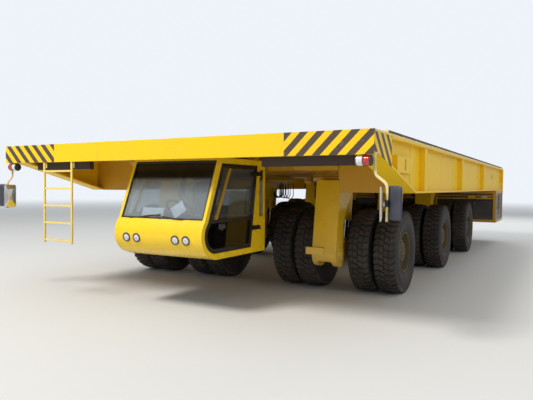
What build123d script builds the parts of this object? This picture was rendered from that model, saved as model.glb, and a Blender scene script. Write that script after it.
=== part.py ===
from build123d import *
import math
import os

# Shipyard platform transporter. Millimetres; the front faces -Y, X is across, Z is up
# from the ground, and the origin is on the ground under the middle of the platform.

# Platform
LENGTH = 13200.0
WIDTH = 6000.0
DECK_TOP = 2265.0
DECK_PLATE = 25.0
END_PLATE = 30.0
FRONT_PLATE_HEIGHT = 265.0
REAR_PLATE_HEIGHT = 420.0
WELD_GAP = 0.3

# Boards on the platform
BOARD_THICK = 45.0
BOARD_START = 660.0
BOARD_COUNT = 12
BOARD_JOINT = 12.0
BOARD_SIDE_MARGIN = 40.0
RAMP_LENGTH = 110.0

# Side beams
SIDE_DEPTH = 685.0
SIDE_FRONT_DEPTH = 215.0
SIDE_TAPER_END = 1790.0
SIDE_FLANGE_WIDTH = 260.0
SIDE_FLANGE = 28.0
SIDE_WEB = 20.0
SIDE_WEB_RECESS = 95.0
SIDE_NOSE_LENGTH = 640.0
SIDE_RIB_WIDTH = 160.0
LUG_START = 1000.0
LUG_LENGTH = 750.0
LUG_HEIGHT = 210.0
LUG_THICK = 60.0
LUG_CENTRE_HEIGHT = 1940.0
LUG_SLOT_WIDTH = 60.0
LUG_SLOT_HEIGHT = 140.0
TAIL_LAMP_CENTRE = 2450.0
TAIL_LAMP_WIDTH = 340.0
TAIL_LAMP_HEIGHT = 110.0
TAIL_LAMP_TOP_GAP = 90.0

# Girders and cross-beams under the platform
GIRDER_WIDTH = 700.0
GIRDER_BOTTOM = 1900.0
GIRDER_FRONT_BOTTOM = 2065.0
GIRDER_TAPER_START = 1600.0
GIRDER_TAPER_LENGTH = 180.0
CROSS_BEAM_WIDTH = 260.0
OUTRIGGER_THICK = 60.0
FRONT_STRIP_OFFSET = 320.0
FRONT_STRIP_THICK = 80.0
FRONT_STRIP_INNER = 1480.0
FRONT_STRIP_OUTER = 2650.0

# Sides of the plain round pieces
RIM_SIDES = 12
DRUM_SIDES = 8
BAR_SIDES = 6
HOSE_SIDES = 4

# Bogies: six, steered about upright kingpins
FIRST_AXLE = 2950.0
AXLE_SPACING = 3150.0
AXLE_LINES = 3
KINGPIN_OFFSET = 1560.0
RING_SIDES = 12
FIXED_RING_RADIUS = 560.0
FIXED_RING_HEIGHT = 80.0
MOVING_RING_RADIUS = 520.0
MOVING_RING_HEIGHT = 60.0
RING_GAP = 0.4
LEG_WIDTH = 390.0
LEG_TOP_FRONT = 700.0
LEG_TOP_BACK = 430.0
LEG_WAIST_HEIGHT = 1060.0
LEG_WAIST_BACK = 560.0
LEG_KNEE_HEIGHT = 1330.0
LEG_KNEE_BACK = 430.0
LEG_THROAT_HEIGHT = 1567.0
LEG_THROAT_BACK = 180.0
LEG_TAIL_RISE = 80.0
FOOT_SETBACK = 680.0
FOOT_HEIGHT = 630.0
FOOT_RADIUS = 190.0
FORK_GAP = 222.0
FORK_DEPTH = 330.0
PIVOT_PIN_RADIUS = 55.0
PIVOT_CAP_RADIUS = 85.0
PIVOT_CAP_THICK = 14.0
PIN_CLEARANCE = 0.3
FOOT_LUG_REACH = 285.0
FOOT_LUG_HEIGHT = 110.0
FOOT_LUG_THICK = 30.0
FOOT_LUG_SUNK = 20.0

# Brake and lift hoses on each leg, in a hanging loop from the turning ring to a block on the leg
HOSE_RADIUS = 9.0
HOSE_START = 420.0
HOSE_LOOP_RADIUS = 100.0
HOSE_LOOP_HEIGHT = 1500.0
HOSE_LOOP_RUNS = 4
HOSE_BLOCK_BOTTOM = 1560.0
HOSE_BLOCK_HEIGHT = 70.0
HOSE_BLOCK_BACK = -130.0
HOSE_BLOCK_FRONT = -350.0
HOSE_PLACES = (-180.0, -260.0)

# Swing arm, axle and lift cylinder
ARM_WIDTH = 220.0
ARM_EYE_RADIUS = 125.0
AXLE_HOUSING_RADIUS = 115.0
AXLE_HOUSING_HALF = 180.0
SPINDLE_RADIUS = 60.0
SPINDLE_END = 880.0
CYLINDER_RADIUS = 90.0
ROD_RADIUS = 55.0
CYLINDER_TOP_SETBACK = -90.0
CYLINDER_TOP_HEIGHT = 1540.0
CYLINDER_FOOT_SETBACK = 40.0
CYLINDER_FOOT_HEIGHT = 720.0
CYLINDER_BARREL_LENGTH = 430.0
CYLINDER_HEAD_WIDTH = 130.0

# Wheels: twins on each side of every bogie
TYRE_RADIUS = 652.0
TYRE_SIDES = 14
TYRE_WIDTH = 360.0
TYRE_SHOULDER = 45.0
TYRE_SHOULDER_DROP = 55.0
TYRE_BORE_RADIUS = 300.0
TWIN_SPACING = 400.0
TWIN_CENTRE = 650.0
RIM_WIDTH = 300.0
RIM_FIT = 0.3
RIM_DISH_RADIUS = 262.0
RIM_DISH_DEPTH = 110.0
HUB_RADIUS = 165.0
HUB_END = 975.0

# Cab under the front of the platform
CAB_LEFT = 780.0
CAB_RIGHT = -700.0
CAB_WALL = 45.0
CAB_TOP_GAP = 25.0
CAB_TOP = GIRDER_FRONT_BOTTOM - CAB_TOP_GAP
CAB_ROOF_THICK = 40.0
CAB_FLOOR = 700.0
CAB_BACK = 1650.0
CAB_BACK_ROOM = 60.0
CAB_SILL_HEIGHT = 1220.0
CAB_SILL_SETBACK = 130.0
CAB_NOSE_HEIGHT = 1040.0
CAB_NOSE_SETBACK = 50.0
CAB_TOE_HEIGHT = 735.0
CAB_TOE_SETBACK = 250.0
CAB_HEEL_SETBACK = 360.0
SCREEN_TOP_HEIGHT = CAB_TOP - CAB_ROOF_THICK
SCREEN_TOP_SETBACK = 445.0
GLASS_THICK = 10.0
GLASS_INSET = 15.0
HEADLAMP_RADIUS = 52.0
HEADLAMP_HEIGHT = 960.0
HEADLAMP_SETBACK = 62.0
HEADLAMP_DEPTH = 80.0
HEADLAMP_PLACES = (-482.0, -302.0, 356.0, 530.0)
CAB_HANGER_WIDTH = 120.0

# Cab door, on the left side
DOOR_MARGIN = 75.0
DOOR_BOTTOM = 790.0
DOOR_HEAD_MARGIN = 85.0
DOOR_TOP = CAB_TOP - DOOR_HEAD_MARGIN
DOOR_BACK_FOOT = 1240.0
DOOR_BACK_HEAD = 1425.0
DOOR_GAP = 8.0
DOOR_RAIL = 52.0
DOOR_WAIST = 1200.0
DOOR_WAIST_RAIL = 46.0
DOOR_POST_FOOT = 330.0
DOOR_POST_HEAD = 700.0
DOOR_POST_WIDTH = 60.0
HINGE_SETBACK = 1452.0
HINGE_STANDOFF = 20.0
HINGE_PIN_RADIUS = 10.0
HINGE_EYE_RADIUS = 18.0
HINGE_EYE_HEIGHT = 60.0
HINGE_PIN_LENGTH = 110.0
HINGE_STRAP = 12.0
HINGE_STRAP_REACH = 150.0
HINGE_HEIGHTS = (1060.0, 1840.0)

# Cab fittings
SEAT_WIDTH = 500.0
SEAT_FRONT = 800.0
SEAT_DEPTH = 500.0
SEAT_HEIGHT = 1190.0
SEAT_CUSHION = 120.0
SEAT_BACK_TOP = 1760.0
SEAT_BACK_THICK = 130.0
SEAT_PEDESTAL = 320.0
DASH_WIDTH = 1100.0
DASH_FRONT = 195.0
DASH_DEPTH = 230.0
DASH_TOP = 1215.0
DASH_THICK = 220.0
DASH_FOOT_DEPTH = 90.0
WHEEL_OUTER = 200.0
WHEEL_INNER = 172.0
WHEEL_THICK = 24.0
WHEEL_SPOKE = 36.0
WHEEL_CENTRE_SETBACK = 560.0
WHEEL_CENTRE_HEIGHT = 1330.0
COLUMN_FOOT_SETBACK = 400.0
COLUMN_FOOT_HEIGHT = 1100.0
COLUMN_RADIUS = 30.0

# Ladder
LADDER_SIDE_MARGIN = 1185.0
LADDER_WIDTH = 635.0
LADDER_RAIL = 45.0
LADDER_FOOT = 800.0
RUNG_TOP = 1866.0
RUNG_PITCH = 255.0
RUNG_COUNT = 5
RUNG_SIZE = 34.0

# Corner lamps and mirrors
CORNER_LAMP_RADIUS = 60.0
CORNER_LAMP_INNER = 2780.0
CORNER_LAMP_LENGTH = 180.0
CORNER_LAMP_SETBACK = 62.0
LAMP_BRACKET = 60.0
MIRROR_TUBE_RADIUS = 14.0
MIRROR_SETBACK = 100.0
MIRROR_ROOT = 2980.0
MIRROR_POLE = 3110.0
MIRROR_BEND_TOP = 1790.0
MIRROR_BEND_LOW = 1690.0
MIRROR_POLE_END = 1290.0
MIRROR_HEADS = (  # offset along the head, distance from the pole, width, bottom, top, turn in degrees
    (20.0, 60.0, 180.0, 1300.0, 1665.0, 107.0),
    (75.0, 34.0, 170.0, 1315.0, 1675.0, -25.0),
)
MIRROR_HEAD_THICK = 26.0
MIRROR_CLAMP_WIDTH = 24.0
MIRROR_CLAMP_HEIGHT = 50.0

# Power pack under the rear of the platform
PACK_LENGTH = 1840.0
PACK_BOTTOM = 650.0
PACK_SIDE_MARGIN = 10.0
PACK_TUBE = 80.0
PACK_POSTS = (-2950.0, -1300.0, 1300.0, 2950.0)
PACK_PANEL = 30.0
PACK_PANEL_TOP = 1290.0
PACK_PIPE_RADIUS = 24.0
PACK_PIPE_HEIGHTS = (1350.0, 1430.0)
LOUVRE_COUNT = 7
LOUVRE_HEIGHT = 34.0
LOUVRE_DEPTH = 22.0
LOUVRE_MARGIN = 60.0
ENGINE_BEARERS = (-500.0, 500.0)
ENGINE_WIDTH = 1500.0
ENGINE_LENGTH = 850.0
ENGINE_HEIGHT = 700.0

# Worked out from the above
FRONT = -LENGTH / 2
HALF_WIDTH = WIDTH / 2
LADDER_CENTRE = LADDER_SIDE_MARGIN - HALF_WIDTH
DECK_UNDER = DECK_TOP - DECK_PLATE
SIDE_BOTTOM = DECK_TOP - SIDE_DEPTH
WEB_FACE = HALF_WIDTH - SIDE_WEB_RECESS
WEB_INNER = WEB_FACE - SIDE_WEB
AXLE_HEIGHT = TYRE_RADIUS
MOVING_RING_TOP = GIRDER_BOTTOM - FIXED_RING_HEIGHT - RING_GAP
MOVING_RING_BOTTOM = MOVING_RING_TOP - MOVING_RING_HEIGHT
SPINDLE_BORE = SPINDLE_RADIUS / math.cos(math.pi / BAR_SIDES) + PIN_CLEARANCE
HINGE_BORE = HINGE_PIN_RADIUS / math.cos(math.pi / BAR_SIDES) + PIN_CLEARANCE

AXLE_NAMES = ("front", "middle", "rear")
SIDES = (("left", 1), ("right", -1))
WHEEL_SIDES = (("outer", 1), ("inner", -1))

nodes = {}


def block(x0, x1, y0, y1, z0, z1):
    """A box between two corners, with y counted back from the front of the platform."""
    middle = Pos((x0 + x1) / 2, FRONT + (y0 + y1) / 2, (z0 + z1) / 2)
    return middle * Box(abs(x1 - x0), abs(y1 - y0), abs(z1 - z0))


def side_plate(face, x0, x1):
    """A flat outline in (y, z), given thickness from x0 to x1."""
    return Pos(x0, 0, 0) * extrude(Plane.YZ * face, amount=x1 - x0)


def outline(points):
    """A closed face through (y, z) points, with y counted back from the front."""
    return make_face(Polyline(*[(FRONT + y, z) for y, z in points], close=True))


def local_outline(points):
    """A closed face through (y, z) points about a kingpin."""
    return make_face(Polyline(*points, close=True))


def flat_sided(radius, sides, turn=0.5):
    """A polygon of that radius to its flats, with a flat downwards, or turned by shares of a side."""
    corner = radius / math.cos(math.pi / sides)
    return RegularPolygon(corner, sides, rotation=360.0 / sides * turn)


def polygon_bar(radius, sides, x0, x1, y=0.0, z=0.0, turn=0.5):
    """A flat-sided bar along X from x0 to x1, its radius taken to the flats."""
    low = min(x0, x1)
    return Pos(low, y, z) * extrude(Plane.YZ * flat_sided(radius, sides, turn), amount=abs(x1 - x0))


def node(name, *solids):
    """Keep the solids under a node's name."""
    nodes[name] = Compound(label=name, children=[s for piece in solids for s in piece.solids()])


# Platform


def build_platform():
    back = LENGTH - END_PLATE
    half = HALF_WIDTH - BOARD_SIDE_MARGIN
    ramp = side_plate(outline([(BOARD_START - RAMP_LENGTH, DECK_TOP), (BOARD_START - WELD_GAP, DECK_TOP),
                               (BOARD_START - WELD_GAP, DECK_TOP + BOARD_THICK)]), -half, half)
    deck = block(-HALF_WIDTH, HALF_WIDTH, END_PLATE, back, DECK_UNDER, DECK_TOP)
    node("deck_plate", deck + ramp)
    plate_low = DECK_TOP - FRONT_PLATE_HEIGHT
    front = block(-HALF_WIDTH, HALF_WIDTH, 0, END_PLATE, plate_low, DECK_TOP)
    for side in (1, -1):
        middle = side * (CORNER_LAMP_INNER + CORNER_LAMP_LENGTH / 2)
        front += block(middle - LAMP_BRACKET / 2, middle + LAMP_BRACKET / 2, END_PLATE,
                       END_PLATE + LAMP_BRACKET, plate_low, plate_low + SIDE_FLANGE)
    rear = block(-HALF_WIDTH, HALF_WIDTH, back, LENGTH, DECK_TOP - REAR_PLATE_HEIGHT, DECK_TOP)
    for side in (1, -1):
        rear -= tail_lamp(side, 0)
    node("end_plates", front, rear)
    run = (back - BOARD_START + BOARD_JOINT) / BOARD_COUNT
    boards = []
    for index in range(BOARD_COUNT):
        start = BOARD_START + index * run
        top = DECK_TOP + BOARD_THICK
        boards.append(block(-half, half, start, start + run - BOARD_JOINT, DECK_TOP, top))
    node("deck_boards", *boards)


def tail_lamp(side, gap):
    """A rear lamp block set flush in the rear end plate, smaller all round by gap."""
    middle = side * TAIL_LAMP_CENTRE
    reach = TAIL_LAMP_WIDTH / 2 - gap
    top = DECK_TOP - TAIL_LAMP_TOP_GAP
    return block(middle - reach, middle + reach, LENGTH - END_PLATE, LENGTH, top - TAIL_LAMP_HEIGHT + gap,
                 top - gap)


def side_beam(side):
    """One edge beam: tapered web with flanges, upright ribs, a nose plate and a lashing lug."""
    back = LENGTH - END_PLATE
    front_bottom = DECK_TOP - SIDE_FRONT_DEPTH
    taper = [(END_PLATE, front_bottom), (SIDE_TAPER_END, SIDE_BOTTOM), (back, SIDE_BOTTOM)]
    web = outline([(END_PLATE, DECK_UNDER)] + taper + [(back, DECK_UNDER)])
    top_flange = outline([(END_PLATE, DECK_UNDER), (back, DECK_UNDER),
                          (back, DECK_UNDER - SIDE_FLANGE), (END_PLATE, DECK_UNDER - SIDE_FLANGE)])
    lifted = [(y, z + SIDE_FLANGE) for y, z in reversed(taper)]
    low_flange = outline(taper + lifted)
    nose = outline([(END_PLATE, DECK_UNDER), (END_PLATE, front_bottom + SIDE_FLANGE / 2),
                    (SIDE_NOSE_LENGTH, taper_height(SIDE_NOSE_LENGTH) + SIDE_FLANGE / 2),
                    (SIDE_NOSE_LENGTH, DECK_UNDER)])
    beam = side_plate(web, WEB_INNER, WEB_FACE)
    beam += side_plate(top_flange, HALF_WIDTH - SIDE_FLANGE_WIDTH, HALF_WIDTH)
    beam += side_plate(low_flange, HALF_WIDTH - SIDE_FLANGE_WIDTH, HALF_WIDTH)
    beam += side_plate(nose, WEB_FACE, HALF_WIDTH)
    for line in range(AXLE_LINES):
        centre = FIRST_AXLE + line * AXLE_SPACING - AXLE_SPACING / 6
        beam += block(WEB_FACE, HALF_WIDTH - SIDE_FLANGE / 2, centre - SIDE_RIB_WIDTH / 2,
                      centre + SIDE_RIB_WIDTH / 2, SIDE_BOTTOM + SIDE_FLANGE, DECK_UNDER - SIDE_FLANGE)
    lug = block(WEB_FACE, WEB_FACE + LUG_THICK, LUG_START, LUG_START + LUG_LENGTH,
                LUG_CENTRE_HEIGHT - LUG_HEIGHT / 2, LUG_CENTRE_HEIGHT + LUG_HEIGHT / 2)
    middle = LUG_START + LUG_LENGTH / 2
    slot = block(WEB_FACE, WEB_FACE + LUG_THICK, middle - LUG_SLOT_WIDTH / 2, middle + LUG_SLOT_WIDTH / 2,
                 LUG_CENTRE_HEIGHT - LUG_SLOT_HEIGHT / 2, LUG_CENTRE_HEIGHT + LUG_SLOT_HEIGHT / 2)
    beam += lug - slot
    return beam if side > 0 else mirror(beam, about=Plane.YZ)


def taper_height(setback):
    """Height of the side beam's lower edge where its front part rises."""
    front_bottom = DECK_TOP - SIDE_FRONT_DEPTH
    share = (setback - END_PLATE) / (SIDE_TAPER_END - END_PLATE)
    return front_bottom + share * (SIDE_BOTTOM - front_bottom)


def build_frame():
    node("side_beams", side_beam(1), side_beam(-1))
    back = LENGTH - END_PLATE
    slope_end = GIRDER_TAPER_START + GIRDER_TAPER_LENGTH
    shape = outline([(END_PLATE, DECK_UNDER), (END_PLATE, GIRDER_FRONT_BOTTOM),
                     (GIRDER_TAPER_START, GIRDER_FRONT_BOTTOM), (slope_end, GIRDER_BOTTOM),
                     (back, GIRDER_BOTTOM), (back, DECK_UNDER)])
    inner = KINGPIN_OFFSET - GIRDER_WIDTH / 2
    outer = KINGPIN_OFFSET + GIRDER_WIDTH / 2
    girder = side_plate(shape, inner, outer)
    node("main_girders", girder, mirror(girder, about=Plane.YZ))

    beams = []
    outer_end = HALF_WIDTH - SIDE_FLANGE_WIDTH
    half = CROSS_BEAM_WIDTH / 2
    centres = [FIRST_AXLE + line * AXLE_SPACING for line in range(AXLE_LINES)]
    stations = centres + [centre + AXLE_SPACING / 2 for centre in centres]
    for centre in stations:
        beams.append(block(-inner, inner, centre - half, centre + half, GIRDER_BOTTOM, DECK_UNDER))
    for side in (1, -1):
        for start in [SIDE_TAPER_END] + [centre + AXLE_SPACING / 2 for centre in centres]:
            end = start + OUTRIGGER_THICK
            plate = block(side * outer, side * outer_end, start, end, SIDE_BOTTOM, DECK_UNDER)
            beams.append(plate + block(side * outer_end, side * WEB_INNER, start, end,
                                       SIDE_BOTTOM + SIDE_FLANGE, DECK_UNDER - SIDE_FLANGE))
        strip_back = FRONT_STRIP_OFFSET + FRONT_STRIP_THICK
        strip = block(side * FRONT_STRIP_INNER, side * FRONT_STRIP_OUTER, FRONT_STRIP_OFFSET,
                      strip_back, GIRDER_BOTTOM, GIRDER_FRONT_BOTTOM)
        beams.append(strip + block(side * outer, side * FRONT_STRIP_OUTER, FRONT_STRIP_OFFSET,
                                   strip_back, GIRDER_BOTTOM, DECK_UNDER))
    beams.append(block(-inner, inner, FRONT_STRIP_OFFSET, FRONT_STRIP_OFFSET + CROSS_BEAM_WIDTH,
                       GIRDER_FRONT_BOTTOM, DECK_UNDER))
    behind_cab = CAB_BACK + CAB_BACK_ROOM
    beams.append(block(-inner, inner, behind_cab, behind_cab + half, GIRDER_BOTTOM, DECK_UNDER))
    node("cross_beams", *beams)

    rings = []
    for centre in centres:
        for side in (1, -1):
            ring = RegularPolygon(FIXED_RING_RADIUS, RING_SIDES)
            place = Pos(side * KINGPIN_OFFSET, FRONT + centre, GIRDER_BOTTOM - FIXED_RING_HEIGHT)
            rings.append(place * extrude(ring, amount=FIXED_RING_HEIGHT))
    node("slew_rings", *rings)


# Bogies


def leg_shape():
    """Side outline of the gooseneck leg about its kingpin, with the round foot at the pivot."""
    top = MOVING_RING_BOTTOM
    neck = local_outline([
        (-LEG_TOP_FRONT, top),
        (-FOOT_SETBACK - FOOT_RADIUS, FOOT_HEIGHT),
        (-FOOT_SETBACK + FOOT_RADIUS, FOOT_HEIGHT),
        (-LEG_WAIST_BACK, LEG_WAIST_HEIGHT),
        (-LEG_KNEE_BACK, LEG_KNEE_HEIGHT),
        (-LEG_THROAT_BACK, LEG_THROAT_HEIGHT),
        (LEG_TOP_BACK, LEG_THROAT_HEIGHT + LEG_TAIL_RISE),
        (LEG_TOP_BACK, top),
    ])
    foot = Pos(-FOOT_SETBACK, FOOT_HEIGHT) * Circle(FOOT_RADIUS)
    return neck + foot


def cylinder_plane():
    """Plane at the cylinder's upper eye, with its axis down the rod."""
    top = Vector(0, -CYLINDER_TOP_SETBACK, CYLINDER_TOP_HEIGHT)
    foot = Vector(0, -CYLINDER_FOOT_SETBACK, CYLINDER_FOOT_HEIGHT)
    return Plane(origin=top, x_dir=(1, 0, 0), z_dir=(foot - top).normalized())


def cylinder_length():
    rise = CYLINDER_TOP_HEIGHT - CYLINDER_FOOT_HEIGHT
    run = CYLINDER_TOP_SETBACK - CYLINDER_FOOT_SETBACK
    return math.hypot(rise, run)


def leg(inboard):
    """Steered leg: turning ring, gooseneck, forked foot with its pin, and the lift cylinder."""
    half = LEG_WIDTH / 2
    body = side_plate(leg_shape(), -half, half)
    fork = local_outline([
        (-FOOT_SETBACK - 2 * FOOT_RADIUS, FOOT_HEIGHT - 2 * FOOT_RADIUS),
        (-FOOT_SETBACK + 2 * FOOT_RADIUS, FOOT_HEIGHT - 2 * FOOT_RADIUS),
        (-FOOT_SETBACK + 2 * FOOT_RADIUS, FOOT_HEIGHT - FOOT_RADIUS + FORK_DEPTH),
        (-FOOT_SETBACK - FOOT_RADIUS + FOOT_LUG_THICK, FOOT_HEIGHT - FOOT_RADIUS + FORK_DEPTH),
        (-FOOT_SETBACK - FOOT_RADIUS + FOOT_LUG_THICK, FOOT_HEIGHT - 2 * FOOT_RADIUS),
    ])
    body -= side_plate(fork, -FORK_GAP / 2, FORK_GAP / 2)
    body += polygon_bar(PIVOT_PIN_RADIUS, BAR_SIDES, -half, half, -FOOT_SETBACK, FOOT_HEIGHT)
    for side in (1, -1):
        body += polygon_bar(PIVOT_CAP_RADIUS, DRUM_SIDES, side * half, side * (half + PIVOT_CAP_THICK),
                            -FOOT_SETBACK, FOOT_HEIGHT)
    ring = RegularPolygon(MOVING_RING_RADIUS, RING_SIDES)
    body += Pos(0, 0, MOVING_RING_BOTTOM) * extrude(ring, amount=MOVING_RING_HEIGHT)
    lug_depth = FOOT_LUG_THICK + FOOT_LUG_SUNK
    lug_middle = -FOOT_SETBACK - FOOT_RADIUS - FOOT_LUG_THICK + lug_depth / 2
    lug = Pos(inboard * FOOT_LUG_REACH / 2, lug_middle, FOOT_HEIGHT + FOOT_LUG_HEIGHT / 2)
    body += lug * Box(FOOT_LUG_REACH, lug_depth, FOOT_LUG_HEIGHT)
    barrel = cylinder_plane() * extrude(flat_sided(CYLINDER_RADIUS, DRUM_SIDES),
                                        amount=CYLINDER_BARREL_LENGTH)
    eye = Pos(0, -CYLINDER_TOP_SETBACK, (CYLINDER_TOP_HEIGHT + MOVING_RING_BOTTOM) / 2)
    block_height = MOVING_RING_BOTTOM - CYLINDER_TOP_HEIGHT + CYLINDER_RADIUS
    body += eye * Box(CYLINDER_HEAD_WIDTH, 2 * CYLINDER_RADIUS, block_height)
    hose_end = HOSE_START - 2 * HOSE_LOOP_RADIUS
    block_reach = hose_end + 2 * HOSE_RADIUS
    block_place = Pos(inboard * (half + block_reach) / 2, (HOSE_BLOCK_FRONT + HOSE_BLOCK_BACK) / 2,
                      HOSE_BLOCK_BOTTOM + HOSE_BLOCK_HEIGHT / 2)
    body += block_place * Box(block_reach - half, HOSE_BLOCK_BACK - HOSE_BLOCK_FRONT, HOSE_BLOCK_HEIGHT)
    for y in HOSE_PLACES:
        body += hose(inboard, y)
    return body + barrel


def hose(inboard, y):
    """One hose: down from the turning ring, round a loop and up into the block on the leg."""
    middle = HOSE_START - HOSE_LOOP_RADIUS
    path = [(HOSE_START, MOVING_RING_BOTTOM)]
    for step in range(HOSE_LOOP_RUNS + 1):
        angle = math.pi * step / HOSE_LOOP_RUNS
        path.append((middle + HOSE_LOOP_RADIUS * math.cos(angle),
                     HOSE_LOOP_HEIGHT - HOSE_LOOP_RADIUS * math.sin(angle)))
    path.append((middle - HOSE_LOOP_RADIUS, HOSE_BLOCK_BOTTOM))
    points = [Vector(inboard * x, y, z) for x, z in path]
    start = Plane(origin=points[0], x_dir=(0, 1, 0), z_dir=(points[1] - points[0]).normalized())
    section = start * flat_sided(HOSE_RADIUS, HOSE_SIDES)
    return sweep(section, path=Polyline(*points), transition=Transition.RIGHT)


def arm():
    """Swing arm from the foot's pin to the axle, with the spindles and the lift rod."""
    eye = Pos(-FOOT_SETBACK, FOOT_HEIGHT) * flat_sided(ARM_EYE_RADIUS, DRUM_SIDES)
    housing = Pos(0, AXLE_HEIGHT) * flat_sided(AXLE_HOUSING_RADIUS, DRUM_SIDES)
    web = local_outline([
        (-FOOT_SETBACK, FOOT_HEIGHT - ARM_EYE_RADIUS),
        (0, AXLE_HEIGHT - AXLE_HOUSING_RADIUS),
        (0, AXLE_HEIGHT + AXLE_HOUSING_RADIUS),
        (-FOOT_SETBACK, FOOT_HEIGHT + ARM_EYE_RADIUS),
    ])
    half = ARM_WIDTH / 2
    body = side_plate(eye + web + housing, -half, half)
    body -= polygon_bar(PIVOT_PIN_RADIUS + PIN_CLEARANCE, BAR_SIDES, -half, half, -FOOT_SETBACK, FOOT_HEIGHT)
    body += polygon_bar(AXLE_HOUSING_RADIUS, DRUM_SIDES, -AXLE_HOUSING_HALF, AXLE_HOUSING_HALF, 0,
                        AXLE_HEIGHT)
    body += polygon_bar(SPINDLE_RADIUS, BAR_SIDES, -SPINDLE_END, SPINDLE_END, 0, AXLE_HEIGHT, turn=0.0)
    rod_start = CYLINDER_BARREL_LENGTH + WELD_GAP
    rod_length = cylinder_length() - rod_start
    rod = Pos(0, 0, rod_start) * extrude(flat_sided(ROD_RADIUS, DRUM_SIDES), amount=rod_length)
    return body + cylinder_plane() * rod


# Wheels


def tyre_solid():
    """One tyre about its own middle: a flat to each heavy tread block, and sloped shoulders."""
    half = TYRE_WIDTH / 2
    body = polygon_bar(TYRE_RADIUS, TYRE_SIDES, -half, half)
    for place in (0, -1):
        end = body.faces().sort_by(Axis.X)[place]
        body = chamfer(end.edges(), TYRE_SHOULDER_DROP, TYRE_SHOULDER, reference=end)
    return body - polygon_bar(TYRE_BORE_RADIUS, RIM_SIDES, -half, half)


def hub_solid():
    """Both rims and the drum that joins them, for the twin on the +X side of a bogie."""
    rim = TYRE_BORE_RADIUS - RIM_FIT
    inner = TWIN_CENTRE - TWIN_SPACING / 2
    outer = TWIN_CENTRE + TWIN_SPACING / 2
    half = RIM_WIDTH / 2
    rim_face = outer + half
    body = polygon_bar(rim, RIM_SIDES, inner - half, inner + half)
    body += polygon_bar(rim, RIM_SIDES, outer - half, rim_face)
    body -= polygon_bar(RIM_DISH_RADIUS, RIM_SIDES, rim_face - RIM_DISH_DEPTH, rim_face)
    body += polygon_bar(HUB_RADIUS, DRUM_SIDES, inner, HUB_END)
    return body - polygon_bar(SPINDLE_BORE, BAR_SIDES, 0, SPINDLE_END + PIN_CLEARANCE)


def build_bogies():
    tyre_body = tyre_solid()
    hub = hub_solid()
    swing_arm = arm()
    for line, line_name in enumerate(AXLE_NAMES[:AXLE_LINES]):
        for side_name, side in SIDES:
            kingpin = Pos(side * KINGPIN_OFFSET, FRONT + FIRST_AXLE + line * AXLE_SPACING, 0)
            place = f"{line_name}_{side_name}"
            node(f"leg_{place}", kingpin * leg(-side))
            node(f"arm_{place}", kingpin * swing_arm)
            for wheel_name, outward in WHEEL_SIDES:
                turn = side * outward
                wheel = kingpin * Pos(0, 0, AXLE_HEIGHT)
                hub_turned = hub if turn > 0 else mirror(hub, about=Plane.YZ)
                node(f"hub_{place}_{wheel_name}", wheel * hub_turned)
                twins = [wheel * Pos(turn * (TWIN_CENTRE + step * TWIN_SPACING / 2), 0, 0) * tyre_body
                         for step in (-1, 1)]
                node(f"tyres_{place}_{wheel_name}", *twins)


# Cab


def cab_profile():
    """Side outline of the cab: leaning screen, bulged nose, floor and upright back."""
    sill = (FRONT + CAB_SILL_SETBACK, CAB_SILL_HEIGHT)
    nose = (FRONT + CAB_NOSE_SETBACK, CAB_NOSE_HEIGHT)
    toe = (FRONT + CAB_TOE_SETBACK, CAB_TOE_HEIGHT)
    lean = (SCREEN_TOP_SETBACK - CAB_SILL_SETBACK) / (SCREEN_TOP_HEIGHT - CAB_SILL_HEIGHT)
    head = (sill[0] + lean * (CAB_TOP - CAB_SILL_HEIGHT), CAB_TOP)
    heel = (FRONT + CAB_HEEL_SETBACK, CAB_FLOOR)
    back = FRONT + CAB_BACK
    edges = Line(head, sill) + ThreePointArc(sill, nose, toe)
    edges += Polyline(toe, heel, (back, CAB_FLOOR), (back, CAB_TOP), head)
    return make_face(edges)


def zone(y0, y1, z0, z1):
    """A rectangle in (y, z) with y counted back from the front."""
    return outline([(y0, z0), (y1, z0), (y1, z1), (y0, z1)])


def door_outline(grow):
    """The door's outline, larger all round by grow."""
    reach = DOOR_BACK_HEAD
    edge = outline([(0, DOOR_BOTTOM), (DOOR_BACK_FOOT, DOOR_BOTTOM), (reach, DOOR_TOP), (0, DOOR_TOP)])
    shape = offset(cab_profile(), amount=-DOOR_MARGIN, kind=Kind.INTERSECTION) & edge
    return offset(shape, amount=grow, kind=Kind.INTERSECTION) if grow else shape


def door_panes():
    """The door's window openings: quarter light, main pane and lower pane."""
    inner = offset(door_outline(0), amount=-DOOR_RAIL, kind=Kind.INTERSECTION)
    waist = zone(0, CAB_BACK, DOOR_WAIST - DOOR_WAIST_RAIL / 2, DOOR_WAIST + DOOR_WAIST_RAIL / 2)
    post = outline([(DOOR_POST_FOOT, DOOR_WAIST), (DOOR_POST_FOOT + DOOR_POST_WIDTH, DOOR_WAIST),
                    (DOOR_POST_HEAD + DOOR_POST_WIDTH, DOOR_TOP), (DOOR_POST_HEAD, DOOR_TOP)])
    return inner - waist - post


def side_panes():
    """Window openings in the right wall of the cab."""
    inner = offset(cab_profile(), amount=-DOOR_MARGIN - DOOR_RAIL / 2, kind=Kind.INTERSECTION)
    upper = inner & zone(0, DOOR_BACK_HEAD, CAB_SILL_HEIGHT + DOOR_RAIL, DOOR_TOP - DOOR_RAIL)
    post = outline([(DOOR_POST_FOOT, DOOR_WAIST), (DOOR_POST_FOOT + DOOR_POST_WIDTH, DOOR_WAIST),
                    (DOOR_POST_HEAD + DOOR_POST_WIDTH, DOOR_TOP), (DOOR_POST_HEAD, DOOR_TOP)])
    return upper - post


def rear_pane():
    """The narrow window behind the door."""
    start = DOOR_BACK_HEAD + DOOR_RAIL
    return zone(start, CAB_BACK - CAB_WALL, CAB_SILL_HEIGHT, DOOR_TOP - DOOR_RAIL)


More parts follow.
